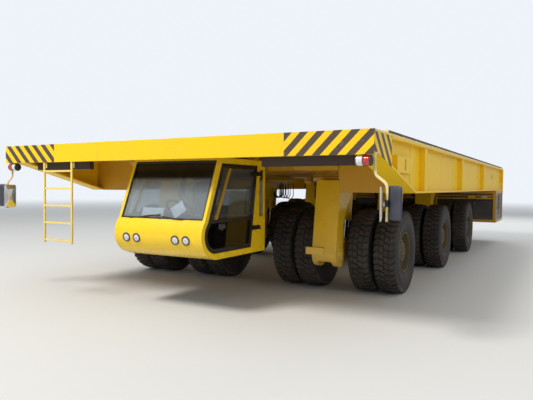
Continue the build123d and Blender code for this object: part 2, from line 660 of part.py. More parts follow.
def hinge_straps():
    """Straps on the door's outer face, each ending in an eye round its hinge pin."""
    straps = []
    for height in HINGE_HEIGHTS:
        low = height - HINGE_EYE_HEIGHT / 2
        high = height + HINGE_EYE_HEIGHT / 2
        strap = block(CAB_LEFT, CAB_LEFT + HINGE_STANDOFF,
                      HINGE_SETBACK - HINGE_STRAP_REACH - HINGE_EYE_RADIUS, HINGE_SETBACK, low, high)
        strap -= block(CAB_LEFT, CAB_LEFT + HINGE_STANDOFF - HINGE_STRAP,
                       HINGE_SETBACK - HINGE_STRAP_REACH / 2, HINGE_SETBACK, low, high)
        pin = Pos(CAB_LEFT + HINGE_STANDOFF, FRONT + HINGE_SETBACK, height)
        reach = HINGE_EYE_HEIGHT / 2
        strap += pin * extrude(flat_sided(HINGE_EYE_RADIUS, DRUM_SIDES), amount=reach, both=True)
        strap -= pin * extrude(flat_sided(HINGE_BORE, BAR_SIDES), amount=reach, both=True)
        straps.append(strap)
    return straps[0] + straps[1]


def hinge_pins():
    """Upright hinge pins, held above and below each eye by blocks on the wall."""
    pins = []
    for height in HINGE_HEIGHTS:
        pin = Pos(CAB_LEFT + HINGE_STANDOFF, FRONT + HINGE_SETBACK, height)
        shape = flat_sided(HINGE_PIN_RADIUS, BAR_SIDES, turn=0.0)
        pins.append(pin * extrude(shape, amount=HINGE_PIN_LENGTH / 2, both=True))
        for side in (1, -1):
            near = height + side * (HINGE_EYE_HEIGHT / 2 + WELD_GAP)
            pins.append(block(CAB_LEFT, CAB_LEFT + HINGE_STANDOFF, HINGE_SETBACK - HINGE_PIN_RADIUS,
                              HINGE_SETBACK + HINGE_PIN_RADIUS, near, height + side * HINGE_PIN_LENGTH / 2))
    return Compound(children=[solid for pin in pins for solid in pin.solids()])


def panes(face, x0):
    """Glass that fills the openings in face."""
    return side_plate(face, x0, x0 + GLASS_THICK)


def build_cab():
    profile = cab_profile()
    inside = offset(profile, amount=-CAB_WALL, kind=Kind.INTERSECTION)
    ring = profile - inside
    left_inner = CAB_LEFT - CAB_WALL
    right_inner = CAB_RIGHT + CAB_WALL
    clear_inner = left_inner - WELD_GAP
    start = right_inner + WELD_GAP

    nose_zone = zone(0, CAB_HEEL_SETBACK, CAB_FLOOR, CAB_SILL_HEIGHT)
    nose = side_plate(ring & nose_zone, start, clear_inner)
    lamps = []
    for x in HEADLAMP_PLACES:
        place = Pos(x, FRONT + HEADLAMP_SETBACK, HEADLAMP_HEIGHT) * Rot(-90, 0, 0)
        hole = extrude(flat_sided(HEADLAMP_RADIUS, DRUM_SIDES), amount=CAB_HEEL_SETBACK, both=True)
        lamp = extrude(flat_sided(HEADLAMP_RADIUS - WELD_GAP, DRUM_SIDES), amount=HEADLAMP_DEPTH)
        lamps.append(place * lamp)
        nose -= place * hole
    node("cab_nose", nose)

    floor_zone = zone(CAB_HEEL_SETBACK, CAB_BACK, 0, CAB_FLOOR + CAB_WALL)
    node("cab_floor", side_plate(profile & floor_zone, start, clear_inner))
    back_zone = zone(CAB_BACK - CAB_WALL, CAB_BACK, CAB_FLOOR + CAB_WALL, SCREEN_TOP_HEIGHT - WELD_GAP)
    back_wall = side_plate(profile & back_zone, start, clear_inner)
    window = block(right_inner + CAB_HANGER_WIDTH, left_inner - CAB_HANGER_WIDTH, CAB_BACK - CAB_WALL,
                   CAB_BACK, CAB_SILL_HEIGHT, DOOR_TOP - DOOR_RAIL)
    node("cab_back_wall", back_wall - window)
    roof = side_plate(profile & zone(0, CAB_BACK, SCREEN_TOP_HEIGHT, CAB_TOP), start, clear_inner)
    for x in (start + CAB_HANGER_WIDTH, clear_inner - CAB_HANGER_WIDTH):
        roof += block(x - CAB_HANGER_WIDTH / 2, x + CAB_HANGER_WIDTH / 2, CAB_BACK - CAB_HANGER_WIDTH,
                      CAB_BACK, CAB_TOP, DECK_UNDER)
    node("cab_roof", roof)

    left_wall = side_plate(profile - door_outline(DOOR_GAP) - rear_pane(), left_inner, CAB_LEFT)
    left_wall += hinge_pins()
    right_wall = side_plate(profile - side_panes() - rear_pane(), CAB_RIGHT, right_inner)
    node("cab_side_walls", left_wall, right_wall)

    glass_outer = offset(profile, amount=-GLASS_INSET, kind=Kind.INTERSECTION)
    glass_inner = offset(profile, amount=-GLASS_INSET - GLASS_THICK, kind=Kind.INTERSECTION)
    screen_zone = zone(0, CAB_BACK / 2, CAB_SILL_HEIGHT, SCREEN_TOP_HEIGHT)
    screen = side_plate((glass_outer - glass_inner) & screen_zone, start, clear_inner)
    back_glass = block(right_inner + CAB_HANGER_WIDTH, left_inner - CAB_HANGER_WIDTH,
                       CAB_BACK - GLASS_INSET - GLASS_THICK, CAB_BACK - GLASS_INSET,
                       CAB_SILL_HEIGHT, DOOR_TOP - DOOR_RAIL)
    node("cab_glass", screen, back_glass,
         panes(side_panes(), CAB_RIGHT + GLASS_INSET),
         panes(rear_pane(), CAB_RIGHT + GLASS_INSET),
         panes(rear_pane(), CAB_LEFT - GLASS_INSET - GLASS_THICK))

    door = side_plate(door_outline(0) - door_panes(), left_inner, CAB_LEFT)
    node("door_frame", door + hinge_straps())
    node("door_glass", panes(door_panes(), CAB_LEFT - GLASS_INSET - GLASS_THICK))
    return lamps


def build_cab_fittings():
    middle = (CAB_LEFT + CAB_RIGHT) / 2
    floor = CAB_FLOOR + CAB_WALL
    half = SEAT_WIDTH / 2
    seat = block(middle - half, middle + half, SEAT_FRONT, SEAT_FRONT + SEAT_DEPTH,
                 SEAT_HEIGHT - SEAT_CUSHION, SEAT_HEIGHT)
    seat += block(middle - half, middle + half, SEAT_FRONT + SEAT_DEPTH - SEAT_BACK_THICK,
                  SEAT_FRONT + SEAT_DEPTH, SEAT_HEIGHT, SEAT_BACK_TOP)
    seat_middle = SEAT_FRONT + SEAT_DEPTH / 2
    seat += block(middle - SEAT_PEDESTAL / 2, middle + SEAT_PEDESTAL / 2, seat_middle - SEAT_PEDESTAL / 2,
                  seat_middle + SEAT_PEDESTAL / 2, floor + WELD_GAP, SEAT_HEIGHT - SEAT_CUSHION)
    node("cab_seat", seat)
    foot_front = CAB_HEEL_SETBACK + CAB_WALL / 2
    dash = outline([(DASH_FRONT, DASH_TOP - DASH_THICK), (DASH_FRONT, DASH_TOP),
                    (DASH_FRONT + DASH_DEPTH, DASH_TOP), (foot_front + DASH_FOOT_DEPTH, floor),
                    (foot_front, floor)])
    console = side_plate(dash, middle - DASH_WIDTH / 2, middle + DASH_WIDTH / 2)
    node("cab_dash", console + steering_wheel(middle))


def steering_wheel(middle):
    """Steering wheel on its column, leaning back towards the seat."""
    centre = Vector(middle, FRONT + WHEEL_CENTRE_SETBACK, WHEEL_CENTRE_HEIGHT)
    foot = Vector(middle, FRONT + COLUMN_FOOT_SETBACK, COLUMN_FOOT_HEIGHT)
    rim = flat_sided(WHEEL_OUTER, DRUM_SIDES) - flat_sided(WHEEL_INNER, DRUM_SIDES)
    rim += Rectangle(2 * WHEEL_OUTER - WHEEL_SPOKE, WHEEL_SPOKE)
    plane = Plane(origin=centre, x_dir=(1, 0, 0), z_dir=(centre - foot).normalized())
    wheel = plane * extrude(rim, amount=WHEEL_THICK)
    column = plane * Pos(0, 0, WHEEL_THICK) * extrude(flat_sided(COLUMN_RADIUS, BAR_SIDES),
                                                      amount=-(centre - foot).length - WHEEL_THICK)
    return wheel + column


# Fittings on the platform


def build_ladder():
    """Two rails and the rungs seated between them."""
    top = DECK_TOP - FRONT_PLATE_HEIGHT - WELD_GAP
    half = LADDER_WIDTH / 2
    bars = []
    for side in (1, -1):
        outer = LADDER_CENTRE + side * half
        bars.append(block(outer - side * LADDER_RAIL, outer, 0, LADDER_RAIL, LADDER_FOOT, top))
    rung_half = half - LADDER_RAIL - WELD_GAP
    for index in range(RUNG_COUNT):
        height = RUNG_TOP - index * RUNG_PITCH
        bars.append(block(LADDER_CENTRE - rung_half, LADDER_CENTRE + rung_half,
                          (LADDER_RAIL - RUNG_SIZE) / 2, (LADDER_RAIL + RUNG_SIZE) / 2,
                          height - RUNG_SIZE / 2, height + RUNG_SIZE / 2))
    node("ladder", *bars)


def mirror_set():
    """Bent tube and its two mirror heads at the left front corner."""
    root_height = taper_height(MIRROR_SETBACK + MIRROR_TUBE_RADIUS) - WELD_GAP
    corners = ((MIRROR_ROOT, root_height), (MIRROR_ROOT, MIRROR_BEND_TOP),
               (MIRROR_POLE, MIRROR_BEND_LOW), (MIRROR_POLE, MIRROR_POLE_END))
    path = [Vector(x, FRONT + MIRROR_SETBACK, z) for x, z in corners]
    start = Plane(origin=path[0], z_dir=(path[1] - path[0]).normalized())
    section = start * flat_sided(MIRROR_TUBE_RADIUS, BAR_SIDES)
    tube = sweep(section, path=Polyline(*path), transition=Transition.RIGHT)
    heads = []
    for offset_along, distance, width, low, high, turn in MIRROR_HEADS:
        pole = Pos(MIRROR_POLE, FRONT + MIRROR_SETBACK, (low + high) / 2) * Rot(0, 0, turn)
        heads.append(pole * Pos(offset_along, distance, 0) * Box(width, MIRROR_HEAD_THICK, high - low))
        reach = distance - MIRROR_HEAD_THICK / 2 - WELD_GAP
        tube += pole * Pos(0, reach / 2, 0) * Box(MIRROR_CLAMP_WIDTH, reach, MIRROR_CLAMP_HEIGHT)
    return tube, heads


def build_corner_fittings(headlamps):
    tube, heads = mirror_set()
    tubes = [tube, mirror(tube, about=Plane.YZ)]
    node("mirror_arms", *tubes)
    node("mirror_heads", *heads, *[mirror(head, about=Plane.YZ) for head in heads])
    height = DECK_TOP - FRONT_PLATE_HEIGHT - CORNER_LAMP_RADIUS - WELD_GAP
    lamps = []
    for side in (1, -1):
        lamps.append(polygon_bar(CORNER_LAMP_RADIUS, DRUM_SIDES, side * CORNER_LAMP_INNER,
                                 side * (CORNER_LAMP_INNER + CORNER_LAMP_LENGTH),
                                 FRONT + CORNER_LAMP_SETBACK, height))
        lamps.append(tail_lamp(side, WELD_GAP))
    node("lamps", *headlamps, *lamps)


# Power pack


def louvres(x0, x1, face, low):
    """A stack of sloping louvre blades on the rear face of a panel."""
    pitch = (PACK_PANEL_TOP - low - LOUVRE_MARGIN) / LOUVRE_COUNT
    blades = []
    for index in range(LOUVRE_COUNT):
        z = low + index * pitch
        blade = outline([(face - WELD_GAP, z), (face + LOUVRE_DEPTH, z),
                         (face - WELD_GAP, z + LOUVRE_HEIGHT)])
        blades.append(side_plate(blade, x0, x1))
    return Compound(children=blades)


def build_power_pack():
    top = SIDE_BOTTOM - WELD_GAP
    end = LENGTH - END_PLATE
    start = end - PACK_LENGTH
    half = HALF_WIDTH - PACK_SIDE_MARGIN
    rails = []
    for y in (start, end - PACK_TUBE):
        for z in (PACK_BOTTOM, top - PACK_TUBE):
            rails.append(block(-half, half, y, y + PACK_TUBE, z, z + PACK_TUBE))
        for x in PACK_POSTS:
            low = min(max(x - PACK_TUBE / 2, -half), half - PACK_TUBE)
            rails.append(block(low, low + PACK_TUBE, y, y + PACK_TUBE, PACK_BOTTOM, top))
    for x in PACK_POSTS:
        low = min(max(x - PACK_TUBE / 2, -half), half - PACK_TUBE)
        for z in (PACK_BOTTOM, top - PACK_TUBE):
            rails.append(block(low, low + PACK_TUBE, start, end, z, z + PACK_TUBE))
    for z in PACK_PIPE_HEIGHTS:
        rails.append(polygon_bar(PACK_PIPE_RADIUS, BAR_SIDES, -half, half, FRONT + start + PACK_TUBE / 2, z))
    for x in ENGINE_BEARERS:
        rails.append(block(x - PACK_TUBE / 2, x + PACK_TUBE / 2, start, end, PACK_BOTTOM,
                           PACK_BOTTOM + PACK_TUBE))
    frame = rails[0]
    for rail in rails[1:]:
        frame += rail
    node("power_frame", frame)

    panels = []
    edges = [min(max(x - PACK_TUBE / 2, -half), half - PACK_TUBE) for x in PACK_POSTS]
    low = PACK_BOTTOM + PACK_TUBE + WELD_GAP
    for y in (start + PACK_TUBE / 2, end - PACK_TUBE / 2):
        for left, right in zip(edges, edges[1:]):
            panel = block(left + PACK_TUBE + WELD_GAP, right - WELD_GAP, y - PACK_PANEL / 2,
                          y + PACK_PANEL / 2, low, PACK_PANEL_TOP)
            if y > start + PACK_TUBE:
                panel += louvres(left + PACK_TUBE + LOUVRE_MARGIN, right - LOUVRE_MARGIN, y + PACK_PANEL / 2,
                                 low + LOUVRE_MARGIN)
            panels.append(panel)
    for side in (1, -1):
        x = side * (half - PACK_TUBE / 2)
        panels.append(block(x - PACK_PANEL / 2, x + PACK_PANEL / 2, start + PACK_TUBE + WELD_GAP,
                            end - PACK_TUBE - WELD_GAP, low, top - PACK_TUBE - WELD_GAP))
    node("power_panels", *panels)
    middle = (start + end) / 2
    engine_low = PACK_BOTTOM + PACK_TUBE + WELD_GAP
    node("engine_block", block(-ENGINE_WIDTH / 2, ENGINE_WIDTH / 2, middle - ENGINE_LENGTH / 2,
                               middle + ENGINE_LENGTH / 2, engine_low, engine_low + ENGINE_HEIGHT))


build_platform()
build_frame()
build_bogies()
headlamp_solids = build_cab()
build_cab_fittings()
build_ladder()
build_corner_fittings(headlamp_solids)
build_power_pack()

os.makedirs("parts", exist_ok=True)
for name, compound in nodes.items():
    export_step(compound, f"parts/{name}.step")
print(len(nodes), "nodes written")
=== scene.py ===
"""Looks of a self-propelled platform transporter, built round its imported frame.

Metres throughout. The front faces -Y, +X is the vehicle's own left, and Z is up from the ground.
"""

import logging
import math
from dataclasses import dataclass, field, replace
from enum import Enum
from typing import Mapping, Sequence

import bmesh
import bpy
import numpy as np
from mathutils import Matrix, Vector
from numpy.typing import ArrayLike, NDArray


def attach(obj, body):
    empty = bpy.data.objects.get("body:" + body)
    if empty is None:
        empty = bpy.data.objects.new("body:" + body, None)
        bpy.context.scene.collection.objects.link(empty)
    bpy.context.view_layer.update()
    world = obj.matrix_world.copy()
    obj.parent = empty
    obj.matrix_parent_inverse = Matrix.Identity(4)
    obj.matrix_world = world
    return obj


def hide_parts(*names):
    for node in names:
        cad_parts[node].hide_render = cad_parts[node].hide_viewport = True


Array = NDArray[np.float64]
Colour = tuple[float, float, float]
Point = tuple[float, float, float]
Pair = tuple[float, float]
Node = bpy.types.Node
Socket = bpy.types.NodeSocket
Source = Socket | float | Colour

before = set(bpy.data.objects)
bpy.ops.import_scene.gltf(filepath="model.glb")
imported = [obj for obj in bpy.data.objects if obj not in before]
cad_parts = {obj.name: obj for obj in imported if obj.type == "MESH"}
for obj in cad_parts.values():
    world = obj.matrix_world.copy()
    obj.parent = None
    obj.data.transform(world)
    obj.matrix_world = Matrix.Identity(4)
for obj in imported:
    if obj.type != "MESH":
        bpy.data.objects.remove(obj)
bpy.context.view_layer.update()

log = logging.getLogger("transporter")

FRONT = -6.6
"""Y of the platform's front face."""

LEFT, RIGHT = 1.0, -1.0
ACROSS, AHEAD, ASTERN = (1.0, 0.0, 0.0), (0.0, -1.0, 0.0), (0.0, 1.0, 0.0)
UP, DOWN = (0.0, 0.0, 1.0), (0.0, 0.0, -1.0)
LYING = (ASTERN, UP, ACROSS)
"""Axes of a block whose length runs across the vehicle."""


# Shader graphs


class Graph:
    """Adds nodes to one shader tree and links them."""

    def __init__(self, tree: bpy.types.NodeTree) -> None:
        """Works on the node tree of a material, a world or a group."""
        self.tree = tree
        self._place: Socket | None = None

    @classmethod
    def blank(cls, owner: bpy.types.Material | bpy.types.World) -> "Graph":
        """The emptied graph of a material or a world.

        Args:
            owner: the material or the world.

        Returns:
            Its graph.
        """
        owner.use_nodes = True
        owner.node_tree.nodes.clear()
        return cls(owner.node_tree)

    def add(self, kind: str, **settings: object) -> Node:
        """Adds one node.

        Args:
            kind: the node's type name after "ShaderNode".
            settings: attributes to set on the node.

        Returns:
            The new node.
        """
        node = self.tree.nodes.new("ShaderNode" + kind)
        for name, value in settings.items():
            setattr(node, name, value)
        return node

    def feed(self, node: Node, inputs: Mapping[str | int, Source]) -> None:
        """Links a node's inputs, or sets their constants.

        Args:
            node: the node to feed.
            inputs: another node's output, a number or a colour for each named or numbered input.
        """
        for key, source in inputs.items():
            socket = node.inputs[key]
            if isinstance(source, Socket):
                self.tree.links.new(source, socket)
            else:
                socket.default_value = (*source, 1.0) if socket.type == "RGBA" else source

    def call(self, kind: str, inputs: Mapping[str | int, Source], out: str | int = 0, **settings: object) -> Socket:
        """Adds a node, feeds its inputs and gives one output.

        Args:
            kind: the node's type name after "ShaderNode".
            inputs: what each named or numbered input takes.
            out: the output wanted.
            settings: attributes to set on the node.

        Returns:
            The output socket.
        """
        node = self.add(kind, **settings)
        self.feed(node, inputs)
        return node.outputs[out]

    def place(self) -> Socket:
        """The point in Object coordinates, made once for the tree.

        Returns:
            The coordinates.
        """
        if self._place is None:
            self._place = self.add("TexCoord").outputs["Object"]
        return self._place

    def math(self, operation: str, a: Source, b: Source = 0.0, clamp: bool = False) -> Socket:
        """One sum on two numbers, with its result held between 0 and 1 where clamp is set."""
        return self.call("Math", {0: a, 1: b}, operation=operation, use_clamp=clamp)

    def times(self, a: Source, b: Source, clamp: bool = False) -> Socket:
        """The product of two numbers."""
        return self.math("MULTIPLY", a, b, clamp)

    def plus(self, a: Source, b: Source) -> Socket:
        """The sum of two numbers."""
        return self.math("ADD", a, b)

    def minus(self, a: Source, b: Source) -> Socket:
        """The first number less the second."""
        return self.math("SUBTRACT", a, b)

    def most(self, a: Source, b: Source, clamp: bool = False) -> Socket:
        """The greater of two numbers."""
        return self.math("MAXIMUM", a, b, clamp)

    def between(self, value: Source, low: float, high: float) -> Socket:
        """1 where the value lies between low and high, 0 elsewhere."""
        return self.times(self.math("GREATER_THAN", value, low), self.math("LESS_THAN", value, high))

    def mix(self, share: Source, a: Source, b: Source) -> Socket:
        """Blends colour a towards colour b by share."""
        return self.call("Mix", {0: share, 6: a, 7: b}, 2, data_type="RGBA")

    def blend(self, share: Source, a: Source, b: Source) -> Socket:
        """Blends number a towards number b by share."""
        return self.call("Mix", {0: share, 2: a, 3: b}, 0, data_type="FLOAT")

    def ramp(self, value: Source, low: Source, high: Source, start: Source = 0.0, end: Source = 1.0) -> Socket:
        """Carries value from the span low to high smoothly onto start to end."""
        return self.call("MapRange", {0: value, 1: low, 2: high, 3: start, 4: end}, interpolation_type="SMOOTHSTEP")

    def noise(self, scale: Source, detail: float = 3.0, rough: float = 0.55, at: Source | None = None) -> Socket:
        """Cloudy noise.

        Args:
            scale: lumps per metre.
            detail: octaves.
            rough: strength of each finer octave.
            at: where it is read, or None for Object coordinates.

        Returns:
            A value about 0.5.
        """
        where = self.place() if at is None else at
        return self.call("TexNoise", {"Vector": where, "Scale": scale, "Detail": detail, "Roughness": rough})

    def stretch(self, scale: Point, turn: Point = (0.0, 0.0, 0.0)) -> Socket:
        """Object coordinates, scaled along each axis and turned by Euler angles in radians."""
        return self.call("Mapping", {"Vector": self.place(), "Rotation": turn, "Scale": scale})

    def split(self, vector: Source) -> tuple[Socket, ...]:
        """Takes a vector apart.

        Args:
            vector: the vector.

        Returns:
            Its X, Y and Z.
        """
        node = self.add("SeparateXYZ")
        self.feed(node, {0: vector})
        return tuple(node.outputs)

    def bump(self, height: Source, base: Source | None = None) -> Socket:
        """Turns a height in metres into a normal.

        Args:
            height: height above the plain surface.
            base: a normal to start from, or None for the mesh's own.

        Returns:
            The normal.
        """
        start = {} if base is None else {"Normal": base}
        return self.call("Bump", {"Strength": 1.0, "Distance": 1.0, "Height": height, **start})


class Effect(Enum):
    """Shared surface effects, each a node group that gives masks, values or normals."""

    EDGE = "edge_wear"
    WEATHER = "weathering"
    RELIEF = "surface_relief"
    SCRATCH = "scratches"


class Effects:
    """Makes each effect's node group once."""

    SOCKETS: dict[Effect, tuple[dict[str, float], tuple[str, ...]]] = {
        Effect.EDGE: ({"Radius": 0.008, "Amount": 0.5}, ("Mask", "Rounded")),
        Effect.WEATHER: ({"Low": 0.3, "High": 2.0, "Dust": 0.5, "Runs": 0.3}, ("Dust", "Runs", "Tone")),
        Effect.RELIEF: ({"Wave": 0.001, "Wave Scale": 2.2, "Grain": 0.0001, "Grain Scale": 260.0}, ("Height",)),
        Effect.SCRATCH: ({"Amount": 0.3}, ("Mask",)),
    }
    _made: dict[Effect, bpy.types.NodeTree] = {}

    @classmethod
    def use(cls, graph: Graph, effect: Effect, values: Mapping[str, Source]) -> Mapping[str, Socket]:
        """Places an effect in a material with its own values.

        Args:
            graph: the material's graph.
            effect: which effect.
            values: what its inputs take, by name.

        Returns:
            The group node's outputs.
        """
        if effect not in cls._made:
            cls._made[effect] = cls._group(effect)
        node = graph.add("Group", node_tree=cls._made[effect])
        graph.feed(node, values)
        return node.outputs

    @classmethod
    def _group(cls, effect: Effect) -> bpy.types.NodeTree:
        """Makes an effect's group: the interface, then its nodes.

        Args:
            effect: names the group and the method that fills it.

        Returns:
            The node group.
        """
        inputs, outputs = cls.SOCKETS[effect]
        tree = bpy.data.node_groups.new(effect.value, "ShaderNodeTree")
        for name, default in inputs.items():
            tree.interface.new_socket(name=name, in_out="INPUT", socket_type="NodeSocketFloat").default_value = default
        for name in outputs:
            kind = "NodeSocketVector" if name == "Rounded" else "NodeSocketFloat"
            tree.interface.new_socket(name=name, in_out="OUTPUT", socket_type=kind)
        given, gives = tree.nodes.new("NodeGroupInput").outputs, tree.nodes.new("NodeGroupOutput")
        graph = Graph(tree)
        graph.feed(gives, getattr(cls, "_" + effect.value)(graph, given))
        return tree

    @staticmethod
    def _edge_wear(g: Graph, given: Mapping[str, Socket]) -> dict[str, Socket]:
        """Wear where the rounded normal leaves the true one, broken up by noise; and that rounded normal.

        Args:
            g: the group's graph.
            given: the group's inputs, by name.

        Returns:
            What each of its outputs takes.
        """
        rounded = g.call("Bevel", {"Radius": given["Radius"]}, samples=4)
        true = g.add("NewGeometry").outputs["Normal"]
        agreement = g.call("VectorMath", {0: rounded, 1: true}, "Value", operation="DOT_PRODUCT")
        worn = g.times(g.ramp(agreement, 0.995, 0.90), g.ramp(g.noise(14.0, 6.0, 0.7), 0.44, 0.62))
        return {"Mask": g.times(worn, given["Amount"], clamp=True), "Rounded": rounded}

    @staticmethod
    def _weathering(g: Graph, given: Mapping[str, Socket]) -> dict[str, Socket]:
        """Dust that thins out upwards and lies on flats, runs down walls, and slow changes of tone.

        Args:
            g: the group's graph.
            given: the group's inputs, by name.

        Returns:
            What each of its outputs takes.
        """
        height = g.split(g.place())[2]
        upward = g.split(g.add("NewGeometry").outputs["Normal"])[2]
        low = g.ramp(height, given["High"], given["Low"])
        flat = g.ramp(upward, 0.4, 0.95, 0.0, 0.8)
        cloud = g.ramp(g.noise(2.6, 7.0, 0.65), 0.34, 0.68, 0.25, 1.0)
        dust = g.times(g.most(low, flat), cloud)
        runs = g.ramp(g.noise(1.0, 5.0, 0.62, g.stretch((11.0, 11.0, 0.55))), 0.55, 0.74)
        patches = g.ramp(g.noise(0.7, 3.0), 0.42, 0.62)
        return {
            "Dust": g.times(dust, given["Dust"], clamp=True),
            "Runs": g.times(g.times(runs, patches), given["Runs"]),
            "Tone": g.noise(0.9, 5.0, 0.6),
        }

    @staticmethod
    def _surface_relief(g: Graph, given: Mapping[str, Socket]) -> dict[str, Socket]:
        """Height in metres: slow waves of welded plate plus fine grain."""
        wave = g.times(g.noise(given["Wave Scale"], 1.0, 0.4), given["Wave"])
        return {"Height": g.plus(wave, g.times(g.noise(given["Grain Scale"], 2.0, 0.6), given["Grain"]))}

    @staticmethod
    def _scratches(g: Graph, given: Mapping[str, Socket]) -> dict[str, Socket]:
        """Thin scuffs: the narrow crests of two noises stretched along and across.

        Args:
            g: the group's graph.
            given: the group's inputs, by name.

        Returns:
            What each of its outputs takes.
        """
        along = g.noise(1.0, 3.0, 0.5, g.stretch((3.0, 2.0, 60.0), (0.0, 0.1, 0.0)))
        across = g.noise(1.0, 3.0, 0.5, g.stretch((70.0, 4.0, 5.0), (0.0, 0.0, 0.6)))
        lines = g.most(g.ramp(along, 0.66, 0.70), g.ramp(across, 0.68, 0.72))
        patches = g.ramp(g.noise(1.7, 2.0), 0.5, 0.7)
        return {"Mask": g.times(g.times(lines, patches), given["Amount"])}


# Finishes


def scaled(colour: Colour, share: float, lift: float = 0.0) -> Colour:
    """A colour times a share, lifted by a little, and no brighter than white."""
    return tuple(min(1.0, share * c + lift) for c in colour)


@dataclass(frozen=True)
class Finish:
    """A finish with one Principled shader; its subclasses say what the shader's sockets take."""

    name: str

    def material(self) -> bpy.types.Material:
        """Gives the finish's material, made once.

        Returns:
            The material.
        """
        found = bpy.data.materials.get("finish_" + self.name)
        if found:
            return found
        made = bpy.data.materials.new("finish_" + self.name)
        graph = Graph.blank(made)
        shader = graph.add("BsdfPrincipled")
        graph.feed(shader, self.sockets(graph))
        graph.feed(graph.add("OutputMaterial"), {"Surface": shader.outputs[0]})
        return made

    def sockets(self, g: Graph) -> dict[str, Source]:
        """What each of the shader's sockets takes."""
        raise NotImplementedError


class Marking(Enum):
    """What is painted over a paint's plain colour."""

    NONE = "none"
    HAZARD = "hazard stripes at the front corners"
    # Painted shade: the dark strip stands for the shadow that the front plate's overhang casts on the cross-beam.
    STRIP = "dark strip behind the front plate"
    POST = "yellow slanting post in the door"


